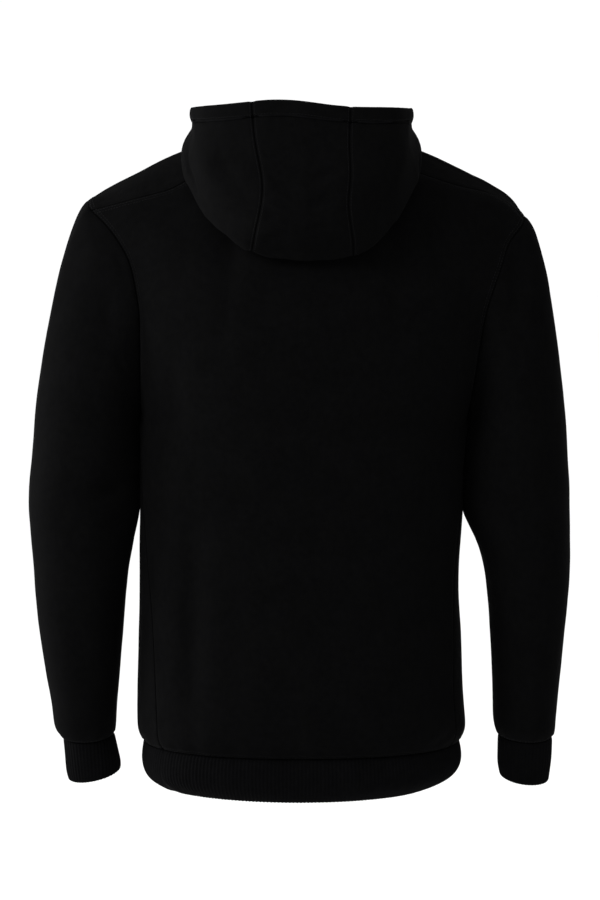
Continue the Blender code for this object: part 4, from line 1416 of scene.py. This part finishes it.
# --- rib ----------------------------------------------------------------------------------
@dataclass
class RibPiece(ClothPiece):
    """A rib piece, folded double: a closely divided band whose ribs stand up in its mesh."""

    fine: int = 2
    slot: str = "black_rib"
    held: str = "stretched"
    uneven: float = 0.0004
    rib: float = 0.0042
    rib_height: float = 0.00034
    step: float = 0.0009

    def _divided(self, pattern: Pattern, levels: int) -> Sheet:
        """The face divided for its ribs: more finely round the piece than along it.

        Args:
            pattern: The outer faces of all pieces.
            levels: How often each face is halved along the piece.

        Returns:
            The divided face.
        """
        sheet = pattern.divided(self.node, levels)
        points = [sheet.points]
        count = len(sheet.points)
        split: dict[tuple[int, int], list[int]] = {}
        faces = []
        aligned = self._aligned(sheet)
        parts = self._parts(pattern, sheet, aligned)
        for (a, b, c, d), part in zip(aligned, parts):
            rows = []
            for start, end in ((a, b), (d, c)):
                key = edge_key(start, end)
                if key not in split:
                    shares = np.arange(1, part)[:, None] / part
                    first, last = sheet.points[list(key)]
                    points.append(first * (1 - shares) + last * shares)
                    split[key] = list(range(count, count + part - 1))
                    count += part - 1
                between = split[key] if key[0] == start else split[key][::-1]
                rows.append([start, *between, end])
            upper, lower = rows
            for k in range(part):
                faces.append((upper[k], upper[k + 1], lower[k + 1], lower[k]))
        return Sheet(np.vstack(points), np.array(faces, dtype=np.int32))

    def _parts(self, pattern: Pattern, sheet: Sheet, aligned: Faces) -> list[int]:
        """Into how many parts each face is split, the same all the way down a column.

        Args:
            pattern: The pattern, whose border edges give the widths of the columns.
            sheet: The sheet.
            aligned: Its faces, turned to lie round the piece.

        Returns:
            The number of parts of each face.
        """
        users: dict[tuple[int, int], list[int]] = {}
        for number, (a, b, c, d) in enumerate(aligned):
            for start, end in ((a, b), (d, c)):
                users.setdefault(edge_key(start, end), []).append(number)
        ends, _ = pattern.border(self.node)
        lengths = np.linalg.norm(ends[:, 1] - ends[:, 0], axis=1)
        parts = [0] * len(aligned)
        heights = sheet.points[:, 2]
        tops = [key for key, group in users.items() if len(group) == 1]
        for key in sorted(tops, key=lambda key: -(heights[key[0]] + heights[key[1]])):
            number = users[key][0]
            if parts[number]:
                continue
            middle = (sheet.points[key[0]] + sheet.points[key[1]]) / 2
            offset = middle - ends[:, 0]
            along = ends[:, 1] - ends[:, 0]
            t = np.clip((offset * along).sum(axis=1) / lengths**2, 0, 1)
            nearest = np.linalg.norm(offset - along * t[:, None], axis=1).argmin()
            part = max(2, math.ceil(lengths[nearest] / 2**self.fine / self.step))
            edge = key
            while True:
                parts[number] = part
                a, b, c, d = aligned[number]
                sides = [edge_key(a, b), edge_key(c, d)]
                edge = sides[1] if edge == sides[0] else sides[0]
                following = [other for other in users[edge] if other != number]
                if not following or parts[following[0]]:
                    break
                number = following[0]
        return parts

    @staticmethod
    def _aligned(sheet: Sheet) -> Faces:
        """Faces turned so that their first two corners lie round the piece.

        Args:
            sheet: The divided face.

        Returns:
            The turned faces.
        """
        faces = sheet.faces.tolist()
        sides: dict[tuple[int, int], list[tuple[int, int]]] = {}
        for number, face in enumerate(faces):
            for k in range(4):
                sides.setdefault(edge_key(face[k], face[(k + 1) % 4]), []).append((number, k))
        heights = sheet.points[:, 2]
        single = [key for key, users in sides.items() if len(users) == 1]
        top = max(single, key=lambda key: heights[key[0]] + heights[key[1]])
        number, k = sides[top][0]
        turn = {number: k % 2}
        stack = [number]
        while stack:
            number = stack.pop()
            face = faces[number]
            for k in range(4):
                lies_round = k % 2 == turn[number]
                for other, side in sides[edge_key(face[k], face[(k + 1) % 4])]:
                    if other not in turn:
                        turn[other] = side % 2 if lies_round else 1 - side % 2
                        stack.append(other)
        return [tuple(face[turn[n] :] + face[: turn[n]]) for n, face in enumerate(faces)]

    def _bend(self, sheet: Sheet, runs: Sequence[Run], folds: "Creases") -> np.ndarray:
        """Bend the band, then raise its ribs, evenly spaced along its sewn edge.

        Args:
            sheet: The divided face.
            runs: Its borders.
            folds: What shapes the cloth.

        Returns:
            The distance of each point to the nearest sunk line, in millimetres.
        """
        away = super()._bend(sheet, runs, folds)
        sewn = [run.ids for run in runs if run.edge is Edge.SEWN]
        line = sheet.points[self._chained(sewn)]
        length = run_lengths(line)[-1]
        samples = evenly(line, int(length / RIB_STEP))
        tree = point_tree(samples)
        index = np.array([tree.find(point)[1] for point in sheet.points])
        along = index * length / (len(samples) - 1)
        pitch = length / round(length / self.rib)
        rise = self.rib_height * np.cos(math.tau * along / pitch)
        sheet.points = sheet.points + sheet.normals() * rise[:, None]
        return away

    @staticmethod
    def _chained(runs: Sequence[np.ndarray]) -> np.ndarray:
        """Runs that follow one another, joined into one.

        Args:
            runs: The runs.

        Returns:
            Their points in one line.
        """
        left = [list(run) for run in runs]
        chain = left.pop(0)
        while left:
            after = next((run for run in left if run[0] == chain[-1]), None)
            before = next((run for run in left if run[-1] == chain[0]), None)
            if after is not None:
                left.remove(after)
                chain += after[1:]
            elif before is not None:
                left.remove(before)
                chain = before + chain[1:]
            else:
                break
        return np.array(chain)


# --- the garment's sub-assemblies ---------------------------------------------------------
def crease(pieces: str, half_width: float, depth: float, *line: Point) -> Crease:
    """A crease from sizes in millimetres.

    Args:
        pieces: Names of the pieces that it lies on, with spaces between.
        half_width: Half its width.
        depth: Its depth, negative for a ridge.
        line: Points along it.

    Returns:
        The crease.
    """
    places = tuple(tuple(value / 1000 for value in point) for point in line)
    return Crease(tuple(pieces.split()), places, half_width / 1000, depth / 1000)


@dataclass
class Creases:
    """Main creases of the worn garment and the gathers at its seams."""

    back: tuple[Crease, ...] = (
        crease("back", 16, 5.6, (119.3, 106, -380), (120.5, 94, -480), (116, 93, -620)),
        crease("back", 15, 4, (146, 100, -200), (142, 94, -270), (148, 90, -345)),
        crease("back", 18, 1.2, (60, 120, -480), (75, 122, -560), (70, 123, -640)),
        crease("back", 20, 1.4, (-60, 118, -500), (-85, 120, -580), (-90, 116, -650)),
        crease("back", 12, 1.2, (166, 72, -211), (148.6, 88, -234), (126, 102, -255)),
        crease("back", 13, 1.2, (-188, 70, -211), (-171, 84, -234), (-150, 96, -259)),
        crease("back", 6, 1.2, (-187, 45, -54), (-207, 36, -56), (-225, 29, -60)),
        crease("back front_left", 7, 2, (182, 50, -634), (157, 80, -632), (143, 92, -625)),
        crease("back front_right", 7, 2.6, (-143, 83, -655), (-157, 78, -650), (-173, 62, -640)),
    )
    sleeves: tuple[Crease, ...] = (
        crease("sleeve_left", 8, 1.8, (212.6, 61, -140), (213.8, 64, -178), (211.6, 66, -210)),
        crease("sleeve_left", 6, 1.4, (208.5, 51, -96), (197.2, 57, -114), (190.4, 62, -145)),
        crease("sleeve_left", 6, 1.6, (207.2, 66, -206), (202.9, 65, -219), (192.5, 57, -240)),
        crease("sleeve_left", 10, 5.6, (190, 20, -352), (202, 47, -363), (238.6, 66, -379)),
        crease("sleeve_left", 9, 3.4, (188, 21, -390), (207.7, 49, -406), (226, 59, -414)),
        crease("sleeve_left", 14, 1.6, (259, 52, -470), (249, 43, -553), (232.5, 26, -614)),
        crease("sleeve_right", 10, 3, (-231.4, 41, -85), (-243.5, 47, -125), (-237.4, 59, -178)),
        crease("sleeve_right", 10, 1.6, (-212.1, 56, -313), (-233.5, 68, -325), (-256, 69, -331)),
        crease("sleeve_right", 10, 2.6, (-206, 30, -372), (-224, 55, -385), (-252, 64, -392)),
        crease("sleeve_right", 14, 1.4, (-270, 50, -480), (-260, 42, -553), (-245, 26, -614)),
        crease("sleeve_left", 11, 3.4, (195, -30, -335), (230, -58, -350), (268, -52, -352)),
        crease("sleeve_left", 10, 3, (205, -35, -385), (240, -60, -392), (275, -45, -400)),
        crease("sleeve_right", 11, 3.4, (-200, -30, -340), (-236, -57, -356), (-272, -50, -360)),
        crease("sleeve_right", 10, 3, (-210, -36, -400), (-245, -60, -408), (-280, -44, -412)),
        crease("sleeve_left", 9, 2.4, (205, -45, -110), (212, -58, -150), (205, -62, -200)),
        crease("sleeve_right", 9, 2.4, (-222, -45, -120), (-228, -58, -160), (-218, -62, -210)),
    )
    front: tuple[Crease, ...] = (
        crease("front_left", 14, 2.6, (166, -75, -205), (140, -105, -240), (105, -122, -285)),
        crease("front_right", 14, 2.8, (-176, -75, -215), (-150, -105, -250), (-115, -122, -300)),
        crease("front_left", 22, 2.4, (60, -128, -330), (70, -128, -460), (62, -127, -600)),
        crease("front_right", 22, 2.4, (-85, -128, -360), (-75, -128, -480), (-85, -125, -620)),
        crease("front_left", 14, 2, (120, -115, -520), (128, -115, -590), (135, -108, -645)),
        crease("front_right", 12, 1.4, (-30, -130, -540), (-34, -128, -600), (-30, -126, -650)),
        crease("front_left", 16, 1.6, (110, -60, -45), (120, -85, -100), (110, -110, -170)),
    )
    hood: tuple[Crease, ...] = (
        crease("hood_centre", 5, 3.4, (38.4, 153, -19), (30, 158, -27), (6, 161, -37)),
        crease("hood_centre", 4.8, 2.9, (-12, 158, -25), (-28, 153, -16), (-45, 147, -8)),
        crease("hood_centre", 4.8, 2.9, (40.7, 148, -83), (25.7, 154, -79.5), (8.6, 156, -82)),
        crease("hood_centre", 4.8, 2.9, (0, 160, -74), (-17, 160, -70), (-32, 157, -72)),
        crease("hood_centre", 4.5, 2.5, (42, 150, -50), (34, 155, -56), (24, 158, -58)),
        crease("hood_centre", 5.5, 2.6, (-4, 160, -52), (-20, 159, -46), (-40, 155, -38)),
        crease("hood_left", 3.8, 3, (127, 65, 16), (119, 80, -11), (113, 95, -25), (108, 100, -38)),
        crease("hood_right", 3.8, 2.7, (-131, 60, 4), (-133.5, 65, -10), (-135, 68, -22)),
        crease("hood_left", 10, 1.8, (91.7, 120, 9), (80.5, 138, -18), (64, 151, -45)),
        crease("hood_right", 10, 1.2, (-100, 112, 15), (-91.5, 132, -20), (-78, 142, -50)),
        crease("hood_left", 9, 1.6, (100, -40, 5), (90, -60, -5), (78, -74, -20)),
        crease("hood_right", 9, 1.6, (-100, -40, 3), (-90, -60, -7), (-78, -74, -22)),
    )
    arms: tuple[Crease, ...] = (
        crease("sleeve_left", 26, -5.6, (184, 10, -265), (186, 8, -350), (186, 4, -430)),
        crease("sleeve_right", 26, -6.6, (-190, 12, -265), (-190, 8, -340), (-190, 4, -430)),
        crease("back front_left", 22, -2.2, (180, 4, -280), (181, 4, -320), (181, 4, -370)),
        crease("back front_right", 22, -2.6, (-187, 4, -280), (-186, 4, -320), (-186, 4, -370)),
        crease("back front_left", 14, -2.4, (180, 4, -280), (180.5, 4, -302), (181, 4, -325)),
        crease("back front_right", 14, -2.4, (-187, 4, -280), (-187, 4, -302), (-186, 4, -325)),
    )
    droops: tuple[Droop, ...] = (
        Droop(
            HOODS,
            (
                (-0.12, 0.0), (-0.1, -0.0015), (-0.08, 0.006), (-0.06, 0.0105),
                (-0.04, 0.0078), (-0.02, 0.0065), (0.0, 0.0042), (0.04, 0.006),
                (0.06, 0.007), (0.08, -0.002), (0.1, -0.005), (0.12, -0.0045),
            ),
            -0.020,
            -0.095,
            0.025,
        ),
    )
    tugs: tuple[Tug, ...] = (
        Tug(HOODS, (0.048, -0.028), 0.040, (-0.0072, 0.0, 0.0)),
        Tug(HOODS, (-0.050, -0.085), 0.035, (-0.0040, 0.0, 0.0)),
        Tug(HOODS, (-0.049, -0.020), 0.025, (-0.0032, 0.0, 0.0)),
        Tug(HOODS, (0.130, 0.030), 0.022, (-0.0060, 0.0, 0.0)),
        Tug(HOODS, (-0.133, 0.030), 0.022, (0.0048, 0.0, 0.0)),
        Tug(HOODS, (0.034, -0.108), 0.022, (0.0, -0.0140, 0.0), 0.122),
        Tug(HOODS, (0.008, -0.112), 0.022, (0.0, -0.0120, 0.0), 0.122),
        Tug(HOODS, (-0.020, -0.112), 0.022, (0.0, -0.0120, 0.0), 0.122),
        Tug(HOODS, (-0.050, -0.112), 0.024, (0.0, -0.0120, 0.0), 0.122),
        Tug(HOODS, (0.064, -0.100), 0.020, (0.0, -0.0080, 0.0), 0.110),
    )
    gathers: tuple[Gather, ...] = (
        Gather(
            ("hem_band",), ((0.061, 0.0007, 0.1), (0.037, 0.0006, 0.4), (0.023, 0.0003, 0.7)), 0.020
        ),
        Gather(("cuff_left", "cuff_right"), ((0.031, 0.0008, 0.2), (0.019, 0.0005, 0.6)), 0.014),
        Gather(
            ("sleeve_left", "sleeve_right"), ((0.014, 0.00018, 0.3), (0.009, 0.00012, 0.8)), 0.006
        ),
        Gather(HOODS, ((0.012, 0.00016, 0.5),), 0.006),
    )

    def all(self) -> list[Crease]:
        """Every crease of the garment."""
        return [*self.back, *self.sleeves, *self.arms, *self.front, *self.hood]


@dataclass
class Cloth:
    """All cut pieces with their seams and stitches."""

    fleece: float = 0.0022
    rib: float = 0.0036
    fleece_walls: tuple[float, ...] = (0.0025,)
    hood_walls: tuple[float, ...] = (0.0025, 0.0050, 0.00275)
    rib_walls: tuple[float, ...] = (0.0038,)
    hood_hem: float = 0.0195
    twin: tuple[float, float] = (0.0020, 0.0052)
    zip_row: tuple[float, ...] = (0.0050,)
    panel_row: tuple[float, ...] = (0.0026,)
    hem_row: tuple[float, ...] = (0.0205,)
    shoulder: float = -0.15
    chest: tuple[float, float, float] = (-0.300, 0.040, 0.016)
    cuts: tuple[tuple[float, float], ...] = ((0.30, 0.72), (0.44, 0.64), (0.18, 0.05))
    stitching: Stitching = field(default_factory=Stitching)
    creases: Creases = field(default_factory=Creases)

    def pieces(self) -> list[ClothPiece]:
        """The cut pieces with their sizes.

        Returns:
            The pieces, in the order of the cut.
        """
        trunk = Grain((0.0, 0.0, 0.0), (0.0, 0.0, -1.0), (0.0, 1.0, 0.0), 0.150)
        front = Grain((0.0, 0.0, 0.0), (0.0, 0.0, -1.0), (0.0, -1.0, 0.0), 0.150)
        arms = {
            s: Grain((s * 0.21, 0.0, -0.15), (s * 0.25, -0.02, -0.66), (s, 0.0, 0.0), 0.055)
            for s in (1, -1)
        }
        wrists = {
            s: Grain((s * 0.25, -0.024, -0.66), (s * 0.25, -0.024, -0.72), (s, 0.0, 0.0), 0.03)
            for s in (1, -1)
        }
        hood = Grain((0.0, 0.02, 0.0), (0.0, 0.02, -1.0), (0.0, 1.0, 0.0), 0.120)
        sides = (("left", 1), ("right", -1))
        fleece = {"wall": self.fleece, "walls": self.fleece_walls}
        hoods = {"wall": self.fleece, "walls": self.hood_walls}
        hoods |= {"grain": hood, "hem_line": self.hood_hem}
        rib = {"wall": self.rib, "walls": self.rib_walls}
        body = {**fleece, "ease": self.chest}
        found = [ClothPiece("back", (0, 1, 0), cut=Cut(0.54, 0.70, 0.275), grain=trunk, **body)]
        areas = {1: (0.182, 0.180, 0.0084), -1: (0.181, 0.164, 0.0090)}
        for word, side in sides:
            chest, sleeve, cuff = (Cut(*size, area) for size, area in zip(self.cuts, areas[side]))
            out = (side, 0, 0)
            found += [
                ClothPiece(f"front_{word}", (0, -1, 0), cut=chest, grain=front, **body),
                ClothPiece(f"sleeve_{word}", out, cut=sleeve, grain=arms[side], **fleece),
                RibPiece(f"cuff_{word}", out, cut=cuff, grain=wrists[side], **rib),
                ClothPiece(f"hood_{word}", out, cut=Cut(0.26, 0.30, 0.042), **hoods),
            ]
        found.append(ClothPiece("hood_centre", (0, 1, 0), cut=Cut(0.12, 0.33, 0.037), **hoods))
        band = Cut(1.00, 0.055, 0.054)
        found.append(RibPiece("hem_band", (0, 1, 0), cut=band, grain=trunk, **rib))
        return found

    def stitch_rows(self) -> list[StitchRow]:
        """Where the garment is stitched.

        Returns:
            The rows.
        """
        rows = []
        fronts = ("front_left", "front_right")
        for piece in ("back", *fronts):
            rows.append(StitchRow(piece, Edge.SEWN, ("sleeve_left", "sleeve_right"), self.twin))
            rows.append(StitchRow(piece, Edge.SEWN, ("hem_band",), self.twin))
            rows.append(StitchRow(piece, Edge.SEWN, HOODS, self.twin))
            rows.append(StitchRow(piece, Edge.ZIPPED, (), self.zip_row))
        rows.append(StitchRow("back", Edge.SEWN, fronts, self.twin, self.shoulder))
        rows.append(StitchRow("hem_band", Edge.ZIPPED, (), self.zip_row))
        for word in ("left", "right"):
            rows.append(StitchRow(f"sleeve_{word}", Edge.SEWN, (f"cuff_{word}",), self.twin))
        for piece in HOODS:
            rows.append(StitchRow(piece, Edge.SEWN, HOODS, self.panel_row))
            rows.append(StitchRow(piece, Edge.TURNED, (), self.hem_row))
        return rows

    def build(self, nodes: Nodes) -> None:
        """Shape and dress every piece, attach it and its stitches to the garment and hide its solid.

        Args:
            nodes: The solids' nodes by name.
        """
        outside = KnitFinish("black_fleece_face").make()
        inside = KnitFinish(
            "black_fleece_inside",
            light=(0.0034, 0.0034, 0.0037),
            knit_height=0.00001,
            nap_height=0.00016,
            uneven_height=0.00035,
        ).make()
        rib = KnitFinish(
            "black_rib_knit",
            dark=(0.0008, 0.0008, 0.0009),
            light=(0.0022, 0.0022, 0.0024),
            wale=0.0011,
            nap_height=0.00004,
            uneven_height=0.0001,
        ).make()
        thread = ThreadFinish("black_thread").make()
        pieces = self.pieces()
        pattern = Pattern(nodes, pieces)
        rows = self.stitch_rows()
        for cloth in pieces:
            cloth.shape(pattern, self.creases)
        Seams().close(pieces)
        for cloth in pieces:
            faces = (rib, rib) if isinstance(cloth, RibPiece) else (outside, inside)
            made = cloth.make(faces)
            lines = self.stitching.rows(cloth, rows)
            name = f"{cloth.node}_stitches"
            threads = [self.stitching.make(name, lines, thread)] if lines else []
            cloth.register(made, threads)
            LOG.info("%s: %d faces, %d stitch rows", made.name, len(made.data.polygons), len(lines))


@dataclass
class Zip:
    """The zip: woven tapes, two rows of teeth, stops, slider and pull tab."""

    pitch: float = 0.0026
    tooth: tuple[float, float, float] = (0.0036, 0.0014, 0.0013)
    slider: float = -0.094
    foot: float = 0.012
    root: float = 0.45
    broken_edge: float = 0.00018
    tape_cut: Cut = Cut(0.016, 0.64, 0.0102)
    metal: tuple[str, ...] = (
        "zip_top_stop_left",
        "zip_top_stop_right",
        "zip_bottom_box",
        "zip_slider",
        "zip_pull",
    )

    def build(self, nodes: Nodes) -> None:
        """Dress the zip's nodes and add its teeth.

        Args:
            nodes: The solids' nodes by name.
        """
        tape = TapeFinish("woven_tape").make()
        steel = MetalFinish("dark_plated_steel").make()
        for word in ("left", "right"):
            node = nodes[f"zip_tape_{word}"]
            piece = self._tape(node, tape)
            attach(piece, GARMENT)
            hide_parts(node.name)
            LOG.info("%s: woven tape", piece.name)
        teeth = self._teeth(self._meeting_line(nodes["zip_tape_left"]), steel)
        LOG.info("%s: %d faces", teeth.name, len(teeth.data.polygons))
        for name in self.metal:
            node = nodes[name]
            node.data.materials.clear()
            node.data.materials.append(steel)
            bevel = node.modifiers.new("broken_edges", "BEVEL")
            bevel.width = self.broken_edge
            bevel.segments = 2
            bevel.limit_method = "ANGLE"
            LOG.info("%s: dark plated steel", name)

    @staticmethod
    def _tape(node: Object, finish: Material) -> Object:
        """A tape on the form of its solid, divided for its weave.

        Args:
            node: The tape's node.
            finish: The woven finish.

        Returns:
            The tape.
        """
        shape = bmesh.new()
        shape.from_mesh(node.data)
        bmesh.ops.remove_doubles(shape, verts=shape.verts[:], dist=Pattern.MERGE)
        bmesh.ops.subdivide_edges(shape, edges=shape.edges[:], cuts=1, use_grid_fill=True)
        name = f"{node.name}_weave"
        return placed(name, mesh_of(name, shape), finish)

    @staticmethod
    def _meeting_line(node: Object) -> np.ndarray:
        """The front face of a tape beside the centre line, from the hem up.

        Args:
            node: The tape's node.

        Returns:
            Points of the line.
        """
        points = np.array([tuple(v.co) for v in node.data.vertices])
        near = points[np.abs(points[:, 0]) < 0.001]
        line = {}
        for x, y, z in near:
            key = round(float(z), 3)
            line[key] = min(line.get(key, 9.0), float(y))
        return np.array([(z, line[z]) for z in sorted(line)])

    def _teeth(self, line: np.ndarray, finish: Material) -> Object:
        """Both rows of teeth, locked, from the bottom box to the slider.

        Args:
            line: The line where the tapes meet.
            finish: The metal finish.

        Returns:
            The teeth.
        """
        shape = bmesh.new()
        low = line[0, 0] + self.foot
        count = int((self.slider - low) / self.pitch)
        for k in range(2 * count):
            side = 1 if k % 2 else -1
            z = low + k * self.pitch / 2
            y = float(np.interp(z, line[:, 0], line[:, 1])) - self.tooth[1] * self.root
            self._tooth(shape, side, y, z)
        piece = placed("zip_teeth", mesh_of("zip_teeth", shape), finish)
        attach(piece, GARMENT)
        return piece

    def _tooth(self, shape: Shape, side: int, y: float, z: float) -> None:
        """Add one tooth: a clasped root and a narrower head that crosses the middle.

        Args:
            shape: The mesh to add to.
            side: 1 for the wearer's left, -1 for the right.
            y: Depth of the tooth's face.
            z: Height of its middle.
        """
        width, deep, high = self.tooth
        outline = [(-0.0007, 0.30), (0.0006, 0.62), (0.0010, 0.34), (0.0016, 0.46), (width, 0.50)]
        ring = [(x, h) for x, h in outline] + [(x, -h) for x, h in reversed(outline)]
        layers = []
        for depth, share in ((0.0, 0.8), (-deep * 0.8, 1.0), (-deep, 0.7)):
            wide = side * (0.9 + 0.1 * share)
            tall = high * share
            layers.append([shape.verts.new((x * wide, y + depth, z + h * tall)) for x, h in ring])
        for lower, upper in zip(layers, layers[1:]):
            for k in range(len(ring)):
                n = (k + 1) % len(ring)
                corners = [lower[k], lower[n], upper[n], upper[k]]
                shape.faces.new(corners if side > 0 else corners[::-1])
        shape.faces.new(layers[-1] if side > 0 else layers[-1][::-1])


@dataclass
class Studio:
    """Pale floor, soft lights and the camera of the photo's view."""

    floor: float = -1.45
    reach: float = 30.0
    eye: Point = (0.0, 3.0, 0.0)
    aim: Point = (0.0, 0.0, -0.33)
    lens: float = 106.1
    sky: float = 1.05
    key: float = 46.0
    side: float = 60.0

    def build(self) -> None:
        """Set up floor, light and camera."""
        scene = bpy.context.scene
        scene.view_settings.view_transform = "Standard"
        self._floor()
        self._world(scene)
        self._light("key_light", (1.5, 1.3, 0.8), (0.0, 0.0, -0.25), 0.9, self.key)
        self._light("side_light", (2.0, -0.35, -0.1), (0.25, 0.0, -0.22), 0.8, self.side)
        camera = bpy.data.cameras.new("camera")
        camera.lens = self.lens
        camera.sensor_width = 36.0
        holder = placed("camera", camera)
        holder.location = self.eye
        holder.rotation_euler = self._facing(self.eye, self.aim)
        scene.camera = holder
        LOG.info("studio: floor at %.2f m", self.floor)

    @staticmethod
    def _facing(place: Point, aim: Point) -> Any:
        """Turn of an object at a place that looks at a point."""
        return (Vector(aim) - Vector(place)).to_track_quat("-Z", "Y").to_euler()

    def _floor(self) -> None:
        """A wide plain floor."""
        shape = bmesh.new()
        bmesh.ops.create_grid(shape, x_segments=8, y_segments=8, size=self.reach)
        bmesh.ops.translate(shape, vec=(0, 0, self.floor), verts=shape.verts[:])
        placed("floor", mesh_of("floor", shape), FloorFinish("pale_floor").make())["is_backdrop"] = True

    def _world(self, scene: bpy.types.Scene) -> None:
        """A plain white surround.

        Args:
            scene: The scene that it lights.
        """
        world = bpy.data.worlds.new("surround")
        world.use_nodes = True
        background = world.node_tree.nodes["Background"]
        background.inputs["Color"].default_value = (1.0, 1.0, 1.0, 1.0)
        background.inputs["Strength"].default_value = self.sky
        scene.world = world

    def _light(self, name: str, place: Point, aim: Point, size: float, power: float) -> None:
        """A square soft light.

        Args:
            name: Its name.
            place: Where it stands.
            aim: Where it points.
            size: The side of its square.
            power: Its power in watts.
        """
        lamp = bpy.data.lights.new(name, "AREA")
        lamp.size = size
        lamp.energy = power
        holder = placed(name, lamp)
        holder.location = place
        holder.rotation_euler = self._facing(place, aim)


def corners(box: Sequence[Vector]) -> list[list[float]]:
    """A box as plain lists."""
    return [list(corner) for corner in box]


def main() -> None:
    """Load the frame, build each sub-assembly on it and take the bounds of the solids and of the whole.
    """
    logging.basicConfig(level=logging.INFO, format="%(name)s: %(message)s")
    for item in list(bpy.data.objects):
        bpy.data.objects.remove(item)
    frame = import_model()
    solid_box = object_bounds()
    Cloth().build(frame["nodes"])
    Zip().build(frame["nodes"])
    Studio().build()
    {"cad": corners(solid_box), "visual": corners(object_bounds())}


if __name__ == "__main__":
    main()
